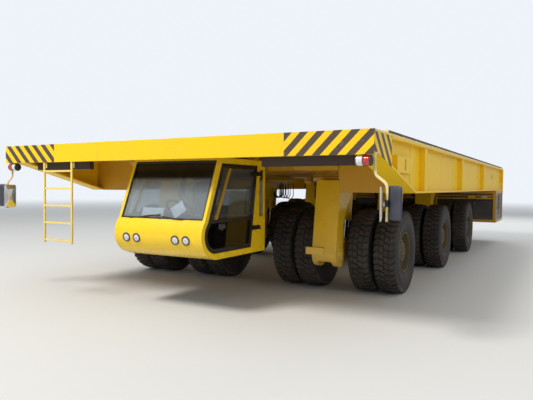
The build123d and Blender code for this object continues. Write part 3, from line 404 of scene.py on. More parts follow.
@dataclass(frozen=True)
class Paint(Finish):
    """Enamel on welded plate: rounded worn edges, dust, rain runs, scuffs and plate waves.

    Pairs are the two ends of a span, in metres; strip_back and post_foot count from the front face.
    """

    colour: Colour
    under: Colour = (0.16, 0.10, 0.06)
    dust_colour: Colour = (0.36, 0.31, 0.24)
    roughness: float = 0.26
    dirt_roughness: float = 0.75
    coat: float = 0.5
    dust: float = 0.45
    dust_low: float = 0.2
    dust_high: float = 1.5
    gloss: float = 0.5
    runs: float = 0.25
    wear: float = 0.5
    edge: float = 0.007
    wave: float = 0.0022
    grain: float = 0.00006
    chip_depth: float = 0.0003
    marking: Marking = Marking.NONE
    second: Colour = (0.095, 0.066, 0.052)
    stripe_pitch: float = 0.2
    stripe_start: float = 1.91
    stripe_shift: float = 0.04
    stripe_side: float = 2.996
    side_stripe_end: float = 0.64
    strip_back: Pair = (0.300, 0.402)
    strip_out: Pair = (1.478, 2.652)
    strip_top: float = 2.067
    post_foot: Pair = (0.330, 1.200)
    post_lean: float = 0.490
    post_band: Pair = (-0.001, 0.061)
    post_span: Pair = (1.224, 1.902)

    def stripes(self, g: Graph) -> Socket:
        """Mask of the hazard stripes: slanting bars on the front face and on both edge plates.

        Args:
            g: the material's graph.

        Returns:
            1 on a dark stripe, 0 elsewhere.
        """
        x, y, z = g.split(g.place())
        out = g.math("ABSOLUTE", g.minus(x, self.stripe_shift))
        ragged = g.ramp(g.noise(20.0, 3.0), 0.3, 0.7, -0.0012, 0.0012)

        def bars(along: Socket) -> Socket:
            """Dark for half of each pitch along the given slant."""
            turn = g.math("FRACT", g.math("DIVIDE", g.plus(along, ragged), self.stripe_pitch))
            return g.ramp(g.math("ABSOLUTE", g.minus(turn, 0.5)), 0.253, 0.247)

        on_face = g.math("LESS_THAN", y, FRONT + 0.004)
        on_front = g.times(on_face, g.math("GREATER_THAN", out, self.stripe_start))
        front = g.times(bars(g.minus(out, z)), on_front)
        on_plate = g.math("GREATER_THAN", g.math("ABSOLUTE", x), self.stripe_side)
        on_side = g.times(on_plate, g.math("LESS_THAN", y, FRONT + self.side_stripe_end))
        side = g.times(bars(g.plus(y, z)), g.times(on_side, g.minus(1.0, on_face)))
        return g.most(front, side)

    def strip(self, g: Graph) -> Socket:
        """Mask of the painted shade on the low strip that stands back behind the front plate's corners.

        Args:
            g: the material's graph.

        Returns:
            1 on the strip, 0 elsewhere.
        """
        x, y, z = g.split(g.place())
        back = g.between(y, *(FRONT + v for v in self.strip_back))
        out = g.between(g.math("ABSOLUTE", x), *self.strip_out)
        return g.times(g.times(back, out), g.math("LESS_THAN", z, self.strip_top))

    def post(self, g: Graph) -> Socket:
        """Mask of the door's slanting post: a band about 60 mm wide that leans back as it rises.

        Args:
            g: the material's graph.

        Returns:
            1 on the post, 0 elsewhere.
        """
        y, z = g.split(g.place())[1:]
        back = g.minus(y, FRONT + self.post_foot[0])
        across = g.minus(back, g.times(g.minus(z, self.post_foot[1]), self.post_lean))
        return g.times(g.between(across, *self.post_band), g.between(z, *self.post_span))

    def marks(self, g: Graph) -> Socket:
        """Mask of this paint's second colour; the stripes are worn thin in places.

        Args:
            g: the material's graph.

        Returns:
            1 where the second colour is painted, 0 elsewhere.
        """
        if self.marking is Marking.HAZARD:
            return g.times(self.stripes(g), g.ramp(g.noise(9.0, 8.0, 0.7), 0.30, 0.40, 0.80, 1.0))
        return self.strip(g) if self.marking is Marking.STRIP else self.post(g)

    def sockets(self, g: Graph) -> dict[str, Source]:
        """Paint with its edges, dirt and waves.

        Args:
            g: the material's graph.

        Returns:
            What each socket takes.
        """
        edge = Effects.use(g, Effect.EDGE, {"Radius": self.edge, "Amount": self.wear})
        levels = {"Low": self.dust_low, "High": self.dust_high, "Dust": self.dust, "Runs": self.runs}
        dirt = Effects.use(g, Effect.WEATHER, levels)
        scuff = Effects.use(g, Effect.SCRATCH, {"Amount": 0.5 * self.wear})
        faded = scaled(self.colour, 0.84, 0.018)
        colour = g.mix(g.ramp(dirt["Tone"], 0.36, 0.68, 0.0, 0.38), self.colour, faded)
        if self.marking is not Marking.NONE:
            colour = g.mix(self.marks(g), colour, self.second)
        chips = g.most(edge["Mask"], scuff["Mask"])
        colour = g.mix(chips, colour, self.under)
        colour = g.mix(dirt["Runs"], colour, scaled(self.dust_colour, 0.45))
        dull = g.most(g.most(chips, dirt["Dust"]), g.times(dirt["Runs"], 0.6))
        fine = g.ramp(g.noise(5.0, 6.0), 0.3, 0.7, -0.05, 0.07)
        relief = Effects.use(g, Effect.RELIEF, {"Wave": self.wave, "Grain": self.grain})
        height = g.minus(relief["Height"], g.times(chips, self.chip_depth))
        return {
            "Base Color": g.mix(dirt["Dust"], colour, self.dust_colour),
            "Roughness": g.blend(dull, g.plus(fine, self.roughness), self.dirt_roughness),
            "Coat Weight": g.blend(dull, self.coat, 0.0),
            "Coat Roughness": 0.12,
            "Specular IOR Level": self.gloss,
            "Normal": g.bump(height, edge["Rounded"]),
        }


@dataclass(frozen=True)
class Tyre(Finish):
    """Dusty tread rubber, pale with dirt in the grooves and on the lower walls."""

    colour: Colour = (0.013, 0.0135, 0.0155)
    dust_colour: Colour = (0.175, 0.138, 0.104)

    def sockets(self, g: Graph) -> dict[str, Source]:
        """Rubber from the mesh's own groove attribute, clouds of dust and a fine grain.

        Args:
            g: the material's graph.

        Returns:
            What each socket takes.
        """
        groove = g.add("Attribute", attribute_name="groove").outputs["Fac"]
        cloud = g.ramp(g.noise(3.2, 8.0, 0.68), 0.36, 0.70)
        specks = g.ramp(g.noise(70.0, 4.0, 0.6), 0.52, 0.70, 0.0, 0.55)
        low = g.ramp(g.split(g.place())[2], 0.62, 0.06, 0.22, 1.15)
        caked = g.times(g.times(groove, g.blend(cloud, 0.30, 0.8)), low)
        film = g.times(g.minus(1.0, groove), g.blend(cloud, 0.13, 0.34))
        film = g.plus(film, g.times(g.times(specks, 0.3), low))
        dust = g.most(caked, film, clamp=True)
        worn = g.ramp(g.noise(1.4, 4.0), 0.35, 0.65)
        rubber = g.mix(worn, self.colour, scaled(self.colour, 1.9))
        pitted = {"Wave": 0.0005, "Grain": 0.0003, "Wave Scale": 24.0, "Grain Scale": 420.0}
        return {
            "Base Color": g.mix(dust, rubber, self.dust_colour),
            "Roughness": g.blend(dust, g.blend(worn, 0.52, 0.68), 0.92),
            "Specular IOR Level": 0.22,
            "Normal": g.bump(Effects.use(g, Effect.RELIEF, pitted)["Height"]),
        }


@dataclass(frozen=True)
class Timber(Finish):
    """Oily, trodden hardwood planks laid across the platform."""

    pale: Colour = (0.150, 0.120, 0.092)
    dark: Colour = (0.050, 0.040, 0.033)
    stain: Colour = (0.022, 0.020, 0.019)
    joint: Colour = (0.008, 0.007, 0.006)
    plank: float = 0.2
    length: float = 2.4
    gap: float = 0.005

    def sockets(self, g: Graph) -> dict[str, Source]:
        """Plank by plank tone, long grain, open joints and tyre-black scuffs.

        Args:
            g: the material's graph.

        Returns:
            What each socket takes.
        """
        brick = g.add("TexBrick", offset=0.37, squash=1.0)
        g.feed(brick, {
            "Vector": g.place(), "Color1": (0.0, 0.0, 0.0), "Color2": (1.0, 1.0, 1.0), "Mortar": (0.5, 0.5, 0.5),
            "Scale": 1.0, "Mortar Size": self.gap, "Mortar Smooth": 0.4, "Brick Width": self.length,
            "Row Height": self.plank,
        })
        tone = g.call("RGBToBW", {0: brick.outputs["Color"]})
        joints = brick.outputs["Fac"]
        grain = g.noise(1.0, 7.0, 0.7, g.stretch((1.6, 46.0, 46.0)))
        colour = g.mix(g.ramp(grain, 0.3, 0.7), self.dark, self.pale)
        colour = g.mix(g.times(tone, 0.55), colour, scaled(self.pale, 1.5))
        scuffs = g.ramp(g.noise(0.8, 6.0, 0.65), 0.45, 0.66)
        colour = g.mix(g.times(scuffs, 0.6), colour, self.stain)
        return {
            "Base Color": g.mix(joints, colour, self.joint),
            "Roughness": g.blend(scuffs, 0.82, 0.55),
            "Normal": g.bump(g.minus(g.times(grain, 0.0022), g.times(joints, 0.012))),
        }


@dataclass(frozen=True)
class Glass(Finish):
    """Tinted safety glass, with a darker band above a height and a film of dust."""

    tint: Colour = (0.40, 0.47, 0.50)
    band: Colour = (0.03, 0.035, 0.04)
    band_height: float = 9.0
    film: float = 0.16
    film_colour: Colour = (0.42, 0.40, 0.36)

    def sockets(self, g: Graph) -> dict[str, Source]:
        """Tint, band and dust film, with smears in the gloss.

        Args:
            g: the material's graph.

        Returns:
            What each socket takes.
        """
        height = g.split(g.place())[2]
        colour = g.mix(g.ramp(height, self.band_height - 0.02, self.band_height + 0.05), self.tint, self.band)
        film = g.ramp(g.noise(4.0, 7.0, 0.62), 0.42, 0.75, 0.0, self.film)
        return {
            "Base Color": g.mix(film, colour, self.film_colour),
            "Roughness": g.plus(g.times(film, 0.5), 0.015),
            "IOR": 1.45,
            "Transmission Weight": 0.82,
            "Normal": g.bump(g.times(g.noise(1.3, 1.0), 0.0008)),
        }


@dataclass(frozen=True)
class Metal(Finish):
    """Bare or plated metal with fine turning marks and grime."""

    colour: Colour
    roughness: float = 0.22
    grime: float = 0.3
    grime_colour: Colour = (0.05, 0.04, 0.03)

    def sockets(self, g: Graph) -> dict[str, Source]:
        """Metal with patches of oily grime.

        Args:
            g: the material's graph.

        Returns:
            What each socket takes.
        """
        patch = g.times(g.ramp(g.noise(11.0, 7.0, 0.66), 0.46, 0.66), self.grime)
        sheen = g.ramp(g.noise(60.0, 3.0), 0.3, 0.7, self.roughness - 0.05, self.roughness + 0.08)
        marks = {"Wave": 0.00015, "Grain": 0.00004, "Wave Scale": 30.0, "Grain Scale": 600.0}
        return {
            "Base Color": g.mix(patch, self.colour, self.grime_colour),
            "Metallic": g.math("SUBTRACT", 1.0, patch, clamp=True),
            "Roughness": g.blend(patch, sheen, 0.7),
            "Normal": g.bump(Effects.use(g, Effect.RELIEF, marks)["Height"]),
        }


@dataclass(frozen=True)
class Moulded(Finish):
    """Moulded rubber, plastic or vinyl: a grained skin that greys with dust."""

    colour: Colour
    roughness: float = 0.5
    grain: float = 0.0003
    grain_scale: float = 240.0
    dust: float = 0.25
    dust_colour: Colour = (0.26, 0.23, 0.19)

    def sockets(self, g: Graph) -> dict[str, Source]:
        """Skin colour with worn tone, dust and grain.

        Args:
            g: the material's graph.

        Returns:
            What each socket takes.
        """
        tone = g.ramp(g.noise(3.5, 5.0), 0.35, 0.66)
        colour = g.mix(tone, self.colour, scaled(self.colour, 1.35, 0.004))
        levels = {"Low": 0.2, "High": 2.2, "Dust": self.dust, "Runs": 0.4 * self.dust}
        dirt = Effects.use(g, Effect.WEATHER, levels)
        film = g.most(dirt["Dust"], dirt["Runs"])
        edge = Effects.use(g, Effect.EDGE, {"Radius": 0.004, "Amount": 0.0})
        cell = g.call("TexVoronoi", {"Vector": g.place(), "Scale": self.grain_scale}, feature="SMOOTH_F1")
        return {
            "Base Color": g.mix(film, colour, self.dust_colour),
            "Roughness": g.blend(film, g.plus(g.times(tone, 0.1), self.roughness), 0.85),
            "Normal": g.bump(g.times(cell, self.grain), edge["Rounded"]),
        }


@dataclass(frozen=True)
class Lens(Finish):
    """Clear or coloured lamp lens with moulded flutes and a little dust."""

    colour: Colour
    flute: float = 0.012
    dust_colour: Colour = (0.34, 0.31, 0.27)

    def sockets(self, g: Graph) -> dict[str, Source]:
        """Lens colour darkened along its flutes as painted shade, the flutes' bumps, and a film in the gloss.

        Args:
            g: the material's graph.

        Returns:
            What each socket takes.
        """
        bands = {"Vector": g.place(), "Scale": 0.16 / self.flute, "Distortion": 0.0}
        flutes = g.call("TexWave", bands, 1, bands_direction="X")
        film = g.ramp(g.noise(30.0, 5.0), 0.45, 0.72, 0.0, 0.25)
        # Painted shade: the lens colour darkens along each flute band.
        colour = g.mix(g.times(flutes, 0.35), self.colour, scaled(self.colour, 0.6))
        return {
            "Base Color": g.mix(film, colour, self.dust_colour),
            "Roughness": g.plus(g.times(film, 0.8), 0.08),
            "Coat Weight": 0.6,
            "Normal": g.bump(g.times(flutes, 0.0012)),
        }


YELLOW: Colour = (0.90, 0.585, 0.012)
FRAME_PAINT = Paint("frame_yellow", YELLOW)
STRIPED_PAINT = Paint("frame_yellow_striped", YELLOW, roughness=0.42, coat=0.06, gloss=0.16, dust=0.2, wave=0.0035,
                      marking=Marking.HAZARD)
CAB_PAINT = Paint("cab_yellow", (0.91, 0.60, 0.010), roughness=0.24, coat=0.35, gloss=0.35, wear=0.2, wave=0.001,
                  dust=0.10, dust_high=1.0, runs=0.15)
BOGIE_PAINT = Paint("bogie_yellow", (0.86, 0.53, 0.010), roughness=0.3, coat=0.3, gloss=0.35, wear=0.7,
                    dust=0.45, dust_high=1.3, runs=0.4)
# Painted shade: the underside yellow is the frame yellow darkened towards orange-brown, with a darker dust colour, for
# the shadow under the platform.
SHADED_UNDERSIDE_PAINT = Paint("underside_yellow_painted_shade", (0.60, 0.315, 0.010), roughness=0.42, coat=0.12, gloss=0.3,
                    dust=0.35, dust_high=2.6, runs=0.6, dust_colour=(0.20, 0.145, 0.09))
# The cross-beams take the shaded underside yellow, plus a near-black second colour on the strip behind the front plate:
# both are painted shade.
SHADED_BEAM_PAINT = replace(SHADED_UNDERSIDE_PAINT, name="underside_yellow_strip", marking=Marking.STRIP, second=(0.048, 0.034, 0.026))
LADDER_PAINT = Paint("ladder_yellow", (0.90, 0.68, 0.15), roughness=0.34, coat=0.3, wear=0.9, edge=0.004, wave=0.0,
                     dust=0.35)
CREAM_PAINT = Paint("mirror_arm_cream", (0.86, 0.72, 0.33), roughness=0.3, edge=0.003, wave=0.0, dust=0.2)
# The rim colour and its dust colour are far darker than the hub yellow: painted shade for the shadowed recess inside
# the rims, together with real dirt.
RIM_DIRT_AND_SHADE_PAINT = Paint("rim_dusty_yellow_painted_shade", (0.110, 0.074, 0.020), roughness=0.55, coat=0.0, gloss=0.3, wear=0.9, wave=0.0,
                  dust=0.95, dust_high=1.6, runs=0.7, dust_colour=(0.060, 0.048, 0.037))
PANEL_PAINT = Paint("pack_panel_dark", (0.040, 0.040, 0.044), roughness=0.36, coat=0.2, wave=0.002,
                    under=(0.20, 0.19, 0.18), dust=0.6, dust_colour=(0.16, 0.13, 0.10))
SIDE_PANEL_PAINT = Paint("pack_side_brown", (0.120, 0.085, 0.050), roughness=0.4, coat=0.15, wave=0.002,
                         under=(0.22, 0.2, 0.18), dust=0.6, dust_colour=(0.20, 0.16, 0.12))
DOOR_PAINT = Paint("door_dark", (0.011, 0.0075, 0.006), roughness=0.38, coat=0.12, gloss=0.3, wear=0.2, wave=0.0006,
                   under=(0.10, 0.08, 0.07), dust=0.08, runs=0.1, marking=Marking.POST, second=(0.42, 0.235, 0.020))
ENGINE_PAINT = Paint("engine_grey", (0.10, 0.105, 0.11), roughness=0.5, coat=0.0, under=(0.2, 0.12, 0.07),
                     dust=0.8, dust_high=2.5, runs=0.7)
TREAD = Tyre("tyre_rubber")
PLANKS = Timber("deck_planks")
SCREEN_GLASS = Glass("screen_glass", (0.66, 0.74, 0.79), band_height=1.74, film=0.10)
DOOR_GLASS = Glass("door_glass", (0.010, 0.007, 0.006), (0.26, 0.30, 0.31), 1.205, 0.05)
CHROME = Metal("rod_chrome", (0.72, 0.72, 0.73), 0.12, 0.25)
STEEL = Metal("bolt_steel", (0.42, 0.40, 0.38), 0.36, 0.6, (0.10, 0.055, 0.03))
MIRROR = Metal("mirror_silver", (0.88, 0.90, 0.92), 0.03, 0.04)
HOSE = Moulded("hose_rubber", (0.018, 0.018, 0.018), 0.48, 0.0004, 300.0, 0.35)
SEAL = Moulded("seal_rubber", (0.014, 0.014, 0.015), 0.55, 0.0001, 500.0, 0.2)
TRIM = Moulded("trim_black", (0.030, 0.030, 0.031), 0.5, 0.0002, 380.0, 0.2)
VINYL = Moulded("seat_vinyl", (0.034, 0.034, 0.038), 0.42, 0.0002, 520.0, 0.1)
MIRROR_SHELL = Moulded("mirror_shell", (0.032, 0.036, 0.056), 0.45, 0.0001, 420.0, 0.08)
PALE_SHELL = Moulded("mirror_shell_pale", (0.50, 0.44, 0.36), 0.45, 0.0001, 420.0, 0.15)
CARD = Moulded("blank_card", (0.94, 0.95, 0.95), 0.6, 0.0, 200.0, 0.0)
CLEAR_LENS = Lens("lens_clear", (0.82, 0.82, 0.80))
RED_LENS = Lens("lens_red", (0.55, 0.020, 0.015))
AMBER_LENS = Lens("lens_amber", (0.80, 0.26, 0.02))


# Surfaces


def unit(vectors: Array) -> Array:
    """Vectors at length one."""
    return vectors / np.maximum(np.linalg.norm(vectors, axis=-1, keepdims=True), 1e-12)


def cos_sin(degrees: float) -> Pair:
    """Cosine and sine of an angle in degrees."""
    return math.cos(math.radians(degrees)), math.sin(math.radians(degrees))


def cross_axes(direction: Array) -> tuple[Array, Array]:
    """Two unit directions square to each given one.

    Args:
        direction: unit vectors, shape (..., 3).

    Returns:
        The two cross directions; the first lies as level as it can.
    """
    level = np.cross(UP, direction)
    steep = np.linalg.norm(level, axis=-1, keepdims=True) < 1e-6
    first = unit(np.where(steep, ACROSS, level))
    return first, np.cross(direction, first)


def circle(radius: float, sides: int, start: float = 0.0) -> Array:
    """A round outline: cosine and sine of equal turns from a first one."""
    angle = np.linspace(0.0, 2.0 * np.pi, sides, endpoint=False) + start
    return radius * np.stack([np.cos(angle), np.sin(angle)], axis=1)


def bolt_circle(radius: float, count: int, level: float, axis: int, start: float = 0.0) -> Array:
    """Places at equal turns on a circle.

    Args:
        radius: the circle's radius.
        count: how many.
        level: where the circle lies along its axis.
        axis: 0 for X or 2 for Z.
        start: turn of the first place.

    Returns:
        (count, 3) points.
    """
    return np.insert(circle(radius, count, start), axis, level, axis=1)


def lattice(x: ArrayLike, y: ArrayLike, z: ArrayLike) -> Array:
    """Every point with its coordinates from three lists or numbers, Z running fastest."""
    return np.stack(np.meshgrid(x, y, z, indexing="ij"), axis=-1).reshape(-1, 3)


def capped(*points: Pair) -> list[Pair]:
    """A profile closed to the axis, level with its first and last points."""
    return [(points[0][0], 0.0), *points, (points[-1][0], 0.0)]


def turned(profile: ArrayLike, centres: ArrayLike, direction: ArrayLike, segments: int) -> Array:
    """Surfaces of revolution.

    A point is its centre, plus the profile's first number along the axis, plus the second number
    times the cosine and sine of the turn along the two cross directions.

    Args:
        profile: (rows, 2) distance along the axis and radius.
        centres: (n, 3) or (3,) where the axis starts.
        direction: the axis.
        segments: steps round the axis.

    Returns:
        Grids of shape (n, rows, segments, 3), closed round the last step.
    """
    rows = np.asarray(profile, float)[:, None]
    axis = unit(np.asarray(direction, float))
    first, second = cross_axes(axis)
    around = circle(1.0, segments)
    spoke = around[:, :1] * first + around[:, 1:] * second
    return np.atleast_2d(np.asarray(centres, float))[:, None, None] + (rows[..., :1] * axis + rows[..., 1:] * spoke)


def swept(path: Array, section: Array) -> Array:
    """A closed section carried along a path, with closed ends.

    Each row is the path's point plus the section's two numbers along the two directions that are
    square to the path there; both ends close at the path's own end points.

    Args:
        path: (rows, 3) points.
        section: (columns, 2) outline about the path.

    Returns:
        One grid of shape (1, rows + 2, columns, 3).
    """
    first, second = cross_axes(unit(np.gradient(path, axis=0)))
    rows = path[:, None] + (section[None, :, :1] * first[:, None] + section[None, :, 1:] * second[:, None])
    ends = np.repeat(path[[0, -1], None], len(section), axis=1)
    return np.concatenate([ends[:1], rows, ends[1:]])[None]


def stacked(middles: ArrayLike, outline: Array, along: Array, size: Array, axes: ArrayLike = np.eye(3)) -> Array:
    """An outline drawn at several sizes, one behind the other.

    A point is its middle, plus the outline's two numbers times that row's size along the first two
    axes, plus that row's distance along the third.

    Args:
        middles: (n, 3) or (3,) where the axes cross.
        outline: (columns, 2) closed outline.
        along: each row's distance.
        size: each row's size, or its two sizes.
        axes: the three directions, as rows.

    Returns:
        Grids of shape (n, rows, columns, 3).
    """
    flat = outline[None] * np.reshape(size, (len(along), 1, -1))
    deep = np.broadcast_to(np.reshape(along, (-1, 1, 1)), (*flat.shape[:2], 1))
    points = np.concatenate([flat, deep], axis=2) @ np.asarray(axes, float)
    return np.atleast_2d(np.asarray(middles, float))[:, None, None] + points


def rounded(width: float, height: float, radius: float, steps: int = 4) -> Array:
    """A rectangle with round corners: each corner is a quarter circle about its own centre.

    Args:
        width: size along the first axis.
        height: size along the second axis.
        radius: corner radius.
        steps: points at each corner.

    Returns:
        (4 * steps, 2) outline.
    """
    quarter = np.linspace(0.0, np.pi / 2.0, steps)
    angle = (np.arange(4)[:, None] * np.pi / 2.0 + quarter[None]).ravel()
    corner = np.repeat(np.array([[1, 1], [-1, 1], [-1, -1], [1, -1]], float), steps, axis=0)
    inset = np.array([width / 2.0 - radius, height / 2.0 - radius])
    return corner * inset + radius * np.stack([np.cos(angle), np.sin(angle)], axis=1)


def blocks(centres: ArrayLike, size: Point, radius: float = 0.006, axes: ArrayLike = np.eye(3)) -> Array:
    """Plates and bars with rounded edges: a rounded outline, stacked with its ends drawn in.

    Args:
        centres: (n, 3) or (3,) middles.
        size: width, height and length along the three axes.
        radius: edge radius.
        axes: the width, height and length directions, as rows.

    Returns:
        Grids of shape (n, rows, columns, 3).
    """
    drawn_in = radius * (1 - np.sin(np.linspace(0.0, np.pi / 2.0, 3)))
    along = np.concatenate([-size[2] / 2.0 + drawn_in[::-1], size[2] / 2.0 - drawn_in])
    inset = np.concatenate([drawn_in, drawn_in[::-1]])[:, None]
    share = 1.0 - inset / (np.array(size[:2]) / 2.0)
    outline = rounded(size[0], size[1], radius)
    return stacked(centres, outline, np.pad(along, 1, "edge"), np.pad(share, ((1, 1), (0, 0))), axes)


def smooth_path(knots: Array, per_span: int = 10) -> Array:
    """A curve through every knot: on each span, the cubic whose end slopes are half the chord
    between the knots on either side.

    Args:
        knots: (n, 3) points to pass through.
        per_span: steps on each span.

    Returns:
        The curve's points.
    """
    ends = np.concatenate([[2 * knots[0] - knots[1]], knots, [2 * knots[-1] - knots[-2]]])
    slope = (ends[2:] - ends[:-2]) / 2.0
    t = np.linspace(0.0, 1.0, per_span, endpoint=False)[None, :, None]
    a, b, u, v = knots[:-1, None], knots[1:, None], slope[:-1, None], slope[1:, None]
    curve = (2 * t**3 - 3 * t**2 + 1) * a + (t**3 - 2 * t**2 + t) * u + (3 * t**2 - 2 * t**3) * b + (t**3 - t**2) * v
    return np.concatenate([curve.reshape(-1, 3), knots[-1:]])


def bent_path(corners: Array, radius: float, steps: int = 7) -> Array:
    """Straight runs with round bends: at each corner, the quadratic curve from a radius before it to
    a radius after it, drawn towards the corner.

    Args:
        corners: (n, 3) ends and corners.
        radius: how far from the corner each bend starts.
        steps: points on each bend.

    Returns:
        The path's points.
    """
    before = unit(corners[:-2] - corners[1:-1]) * radius
    after = unit(corners[2:] - corners[1:-1]) * radius
    t = np.linspace(0.0, 1.0, steps)[None, :, None]
    bends = corners[1:-1, None] + (1 - t) ** 2 * before[:, None] + t**2 * after[:, None]
    return np.concatenate([corners[:1], bends.reshape(-1, 3), corners[-1:]])


def placed(name: str, data: bpy.types.ID) -> bpy.types.Object:
    """A new object in the scene.

    Args:
        name: its name.
        data: its mesh, lamp or camera.

    Returns:
        The object.
    """
    made = bpy.data.objects.new(name, data)
    bpy.context.scene.collection.objects.link(made)
    return made


class Shell:
    """Gathers grids into one mesh, closes them and turns every face outwards."""

    def __init__(self, name: str, *finishes: Finish) -> None:
        """Starts an empty piece.

        Args:
            name: the piece's name.
            finishes: its material slots in order.
        """
        self.name = name
        self.finishes = finishes
        self._points: list[Array] = []
        self._faces: list[NDArray[np.int64]] = []
        self._slots: list[NDArray[np.int64]] = []
        self._marks: list[Array] = []
        self._count = 0

    def add(self, grids: Array, slot: int = 0, mark: ArrayLike = 0.0) -> None:
        """Adds grids that close round their columns.

        Args:
            grids: (n, rows, columns, 3) points.
            slot: the material slot of their faces.
            mark: a number for each point, kept as the attribute "groove".
        """
        shape = grids.shape[:3]
        index = np.arange(math.prod(shape)).reshape(shape) + self._count
        near, far = index[:, :-1], index[:, 1:]
        quads = np.stack([near, np.roll(near, -1, 2), np.roll(far, -1, 2), far], axis=-1).reshape(-1, 4)
        self._points.append(grids.reshape(-1, 3))
        self._faces.append(quads)
        self._slots.append(np.full(len(quads), slot))
        self._marks.append(np.broadcast_to(mark, shape).ravel())
        self._count += index.size

    def turn(self, profile: ArrayLike, centres: ArrayLike, axis: ArrayLike, segments: int, slot: int = 0) -> None:
        """Adds surfaces of revolution to a slot."""
        self.add(turned(profile, centres, axis, segments), slot)

    def sweep(self, path: Array, section: Array, slot: int = 0) -> None:
        """Adds a section carried along a path to a slot."""
        self.add(swept(path, section), slot)

    def box(self, centres: ArrayLike, size: Point, slot: int = 0, radius: float = 0.006,
            axes: ArrayLike = np.eye(3)) -> None:
        """Adds rounded blocks to a slot."""
        self.add(blocks(centres, size, radius, axes), slot)

    def border(self, corners: Array, section: Array, steps: int, slot: int = 0) -> None:
        """Adds a bar along each side of a closed figure.

        Args:
            corners: (n, 3) the figure's corners in order.
            section: outline of the bars.
            steps: points along each bar.
            slot: their material slot.
        """
        for start, end in zip(corners, np.roll(corners, -1, 0)):
            self.sweep(np.linspace(start, end, steps), section, slot)

    def mirrored(self) -> "Shell":
        """Adds a copy of all it holds on the other side of X = 0.

        Returns:
            This shell.
        """
        self._points += [points * np.array([-1.0, 1.0, 1.0]) for points in self._points]
        self._faces += [faces + self._count for faces in self._faces]
        self._slots *= 2
        self._marks *= 2
        self._count *= 2
        return self

    def build(self, body: str = "root", sharp: float = 38.0, replaces: Sequence[str] = ()) -> bpy.types.Object:
        """Makes the piece.

        Args:
            body: the frame body that it rides on.
            sharp: degrees between faces from which an edge stays sharp.
            replaces: frame nodes that it stands for.

        Returns:
            The new object.
        """
        points, faces = np.concatenate(self._points), np.concatenate(self._faces)
        mesh = bpy.data.meshes.new(self.name)
        mesh.vertices.add(len(points))
        mesh.vertices.foreach_set("co", points.ravel().astype(np.float32))
        mesh.loops.add(faces.size)
        mesh.loops.foreach_set("vertex_index", faces.ravel().astype(np.int32))
        mesh.polygons.add(len(faces))
        mesh.polygons.foreach_set("loop_start", np.arange(0, faces.size, 4, dtype=np.int32))
        mesh.polygons.foreach_set("material_index", np.concatenate(self._slots).astype(np.int32))
        marks = np.concatenate(self._marks)
        if marks.any():
            mesh.attributes.new("groove", "FLOAT", "POINT").data.foreach_set("value", marks.astype(np.float32))
        mesh.update(calc_edges=True)
        work = bmesh.new()
        work.from_mesh(mesh)
        bmesh.ops.remove_doubles(work, verts=work.verts, dist=2e-5)
        bmesh.ops.recalc_face_normals(work, faces=work.faces)
        work.to_mesh(mesh)
        work.free()
        mesh.polygons.foreach_set("use_smooth", np.ones(len(mesh.polygons), bool))
        mesh.set_sharp_from_angle(angle=math.radians(sharp))
        for finish in self.finishes:
            mesh.materials.append(finish.material())
        piece = placed(self.name, mesh)
        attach(piece, body)
        if replaces:
            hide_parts(*replaces)
        log.info("%s: %d faces on %s", self.name, len(mesh.polygons), body)
        return piece


# Running gear


AXLES = {"front": -3.65, "middle": -0.5, "rear": 2.65}
"""Y of each axle line."""

KINGPIN = 1.560
"""How far the kingpins stand from the vehicle's middle."""

AXLE_HEIGHT = 0.652


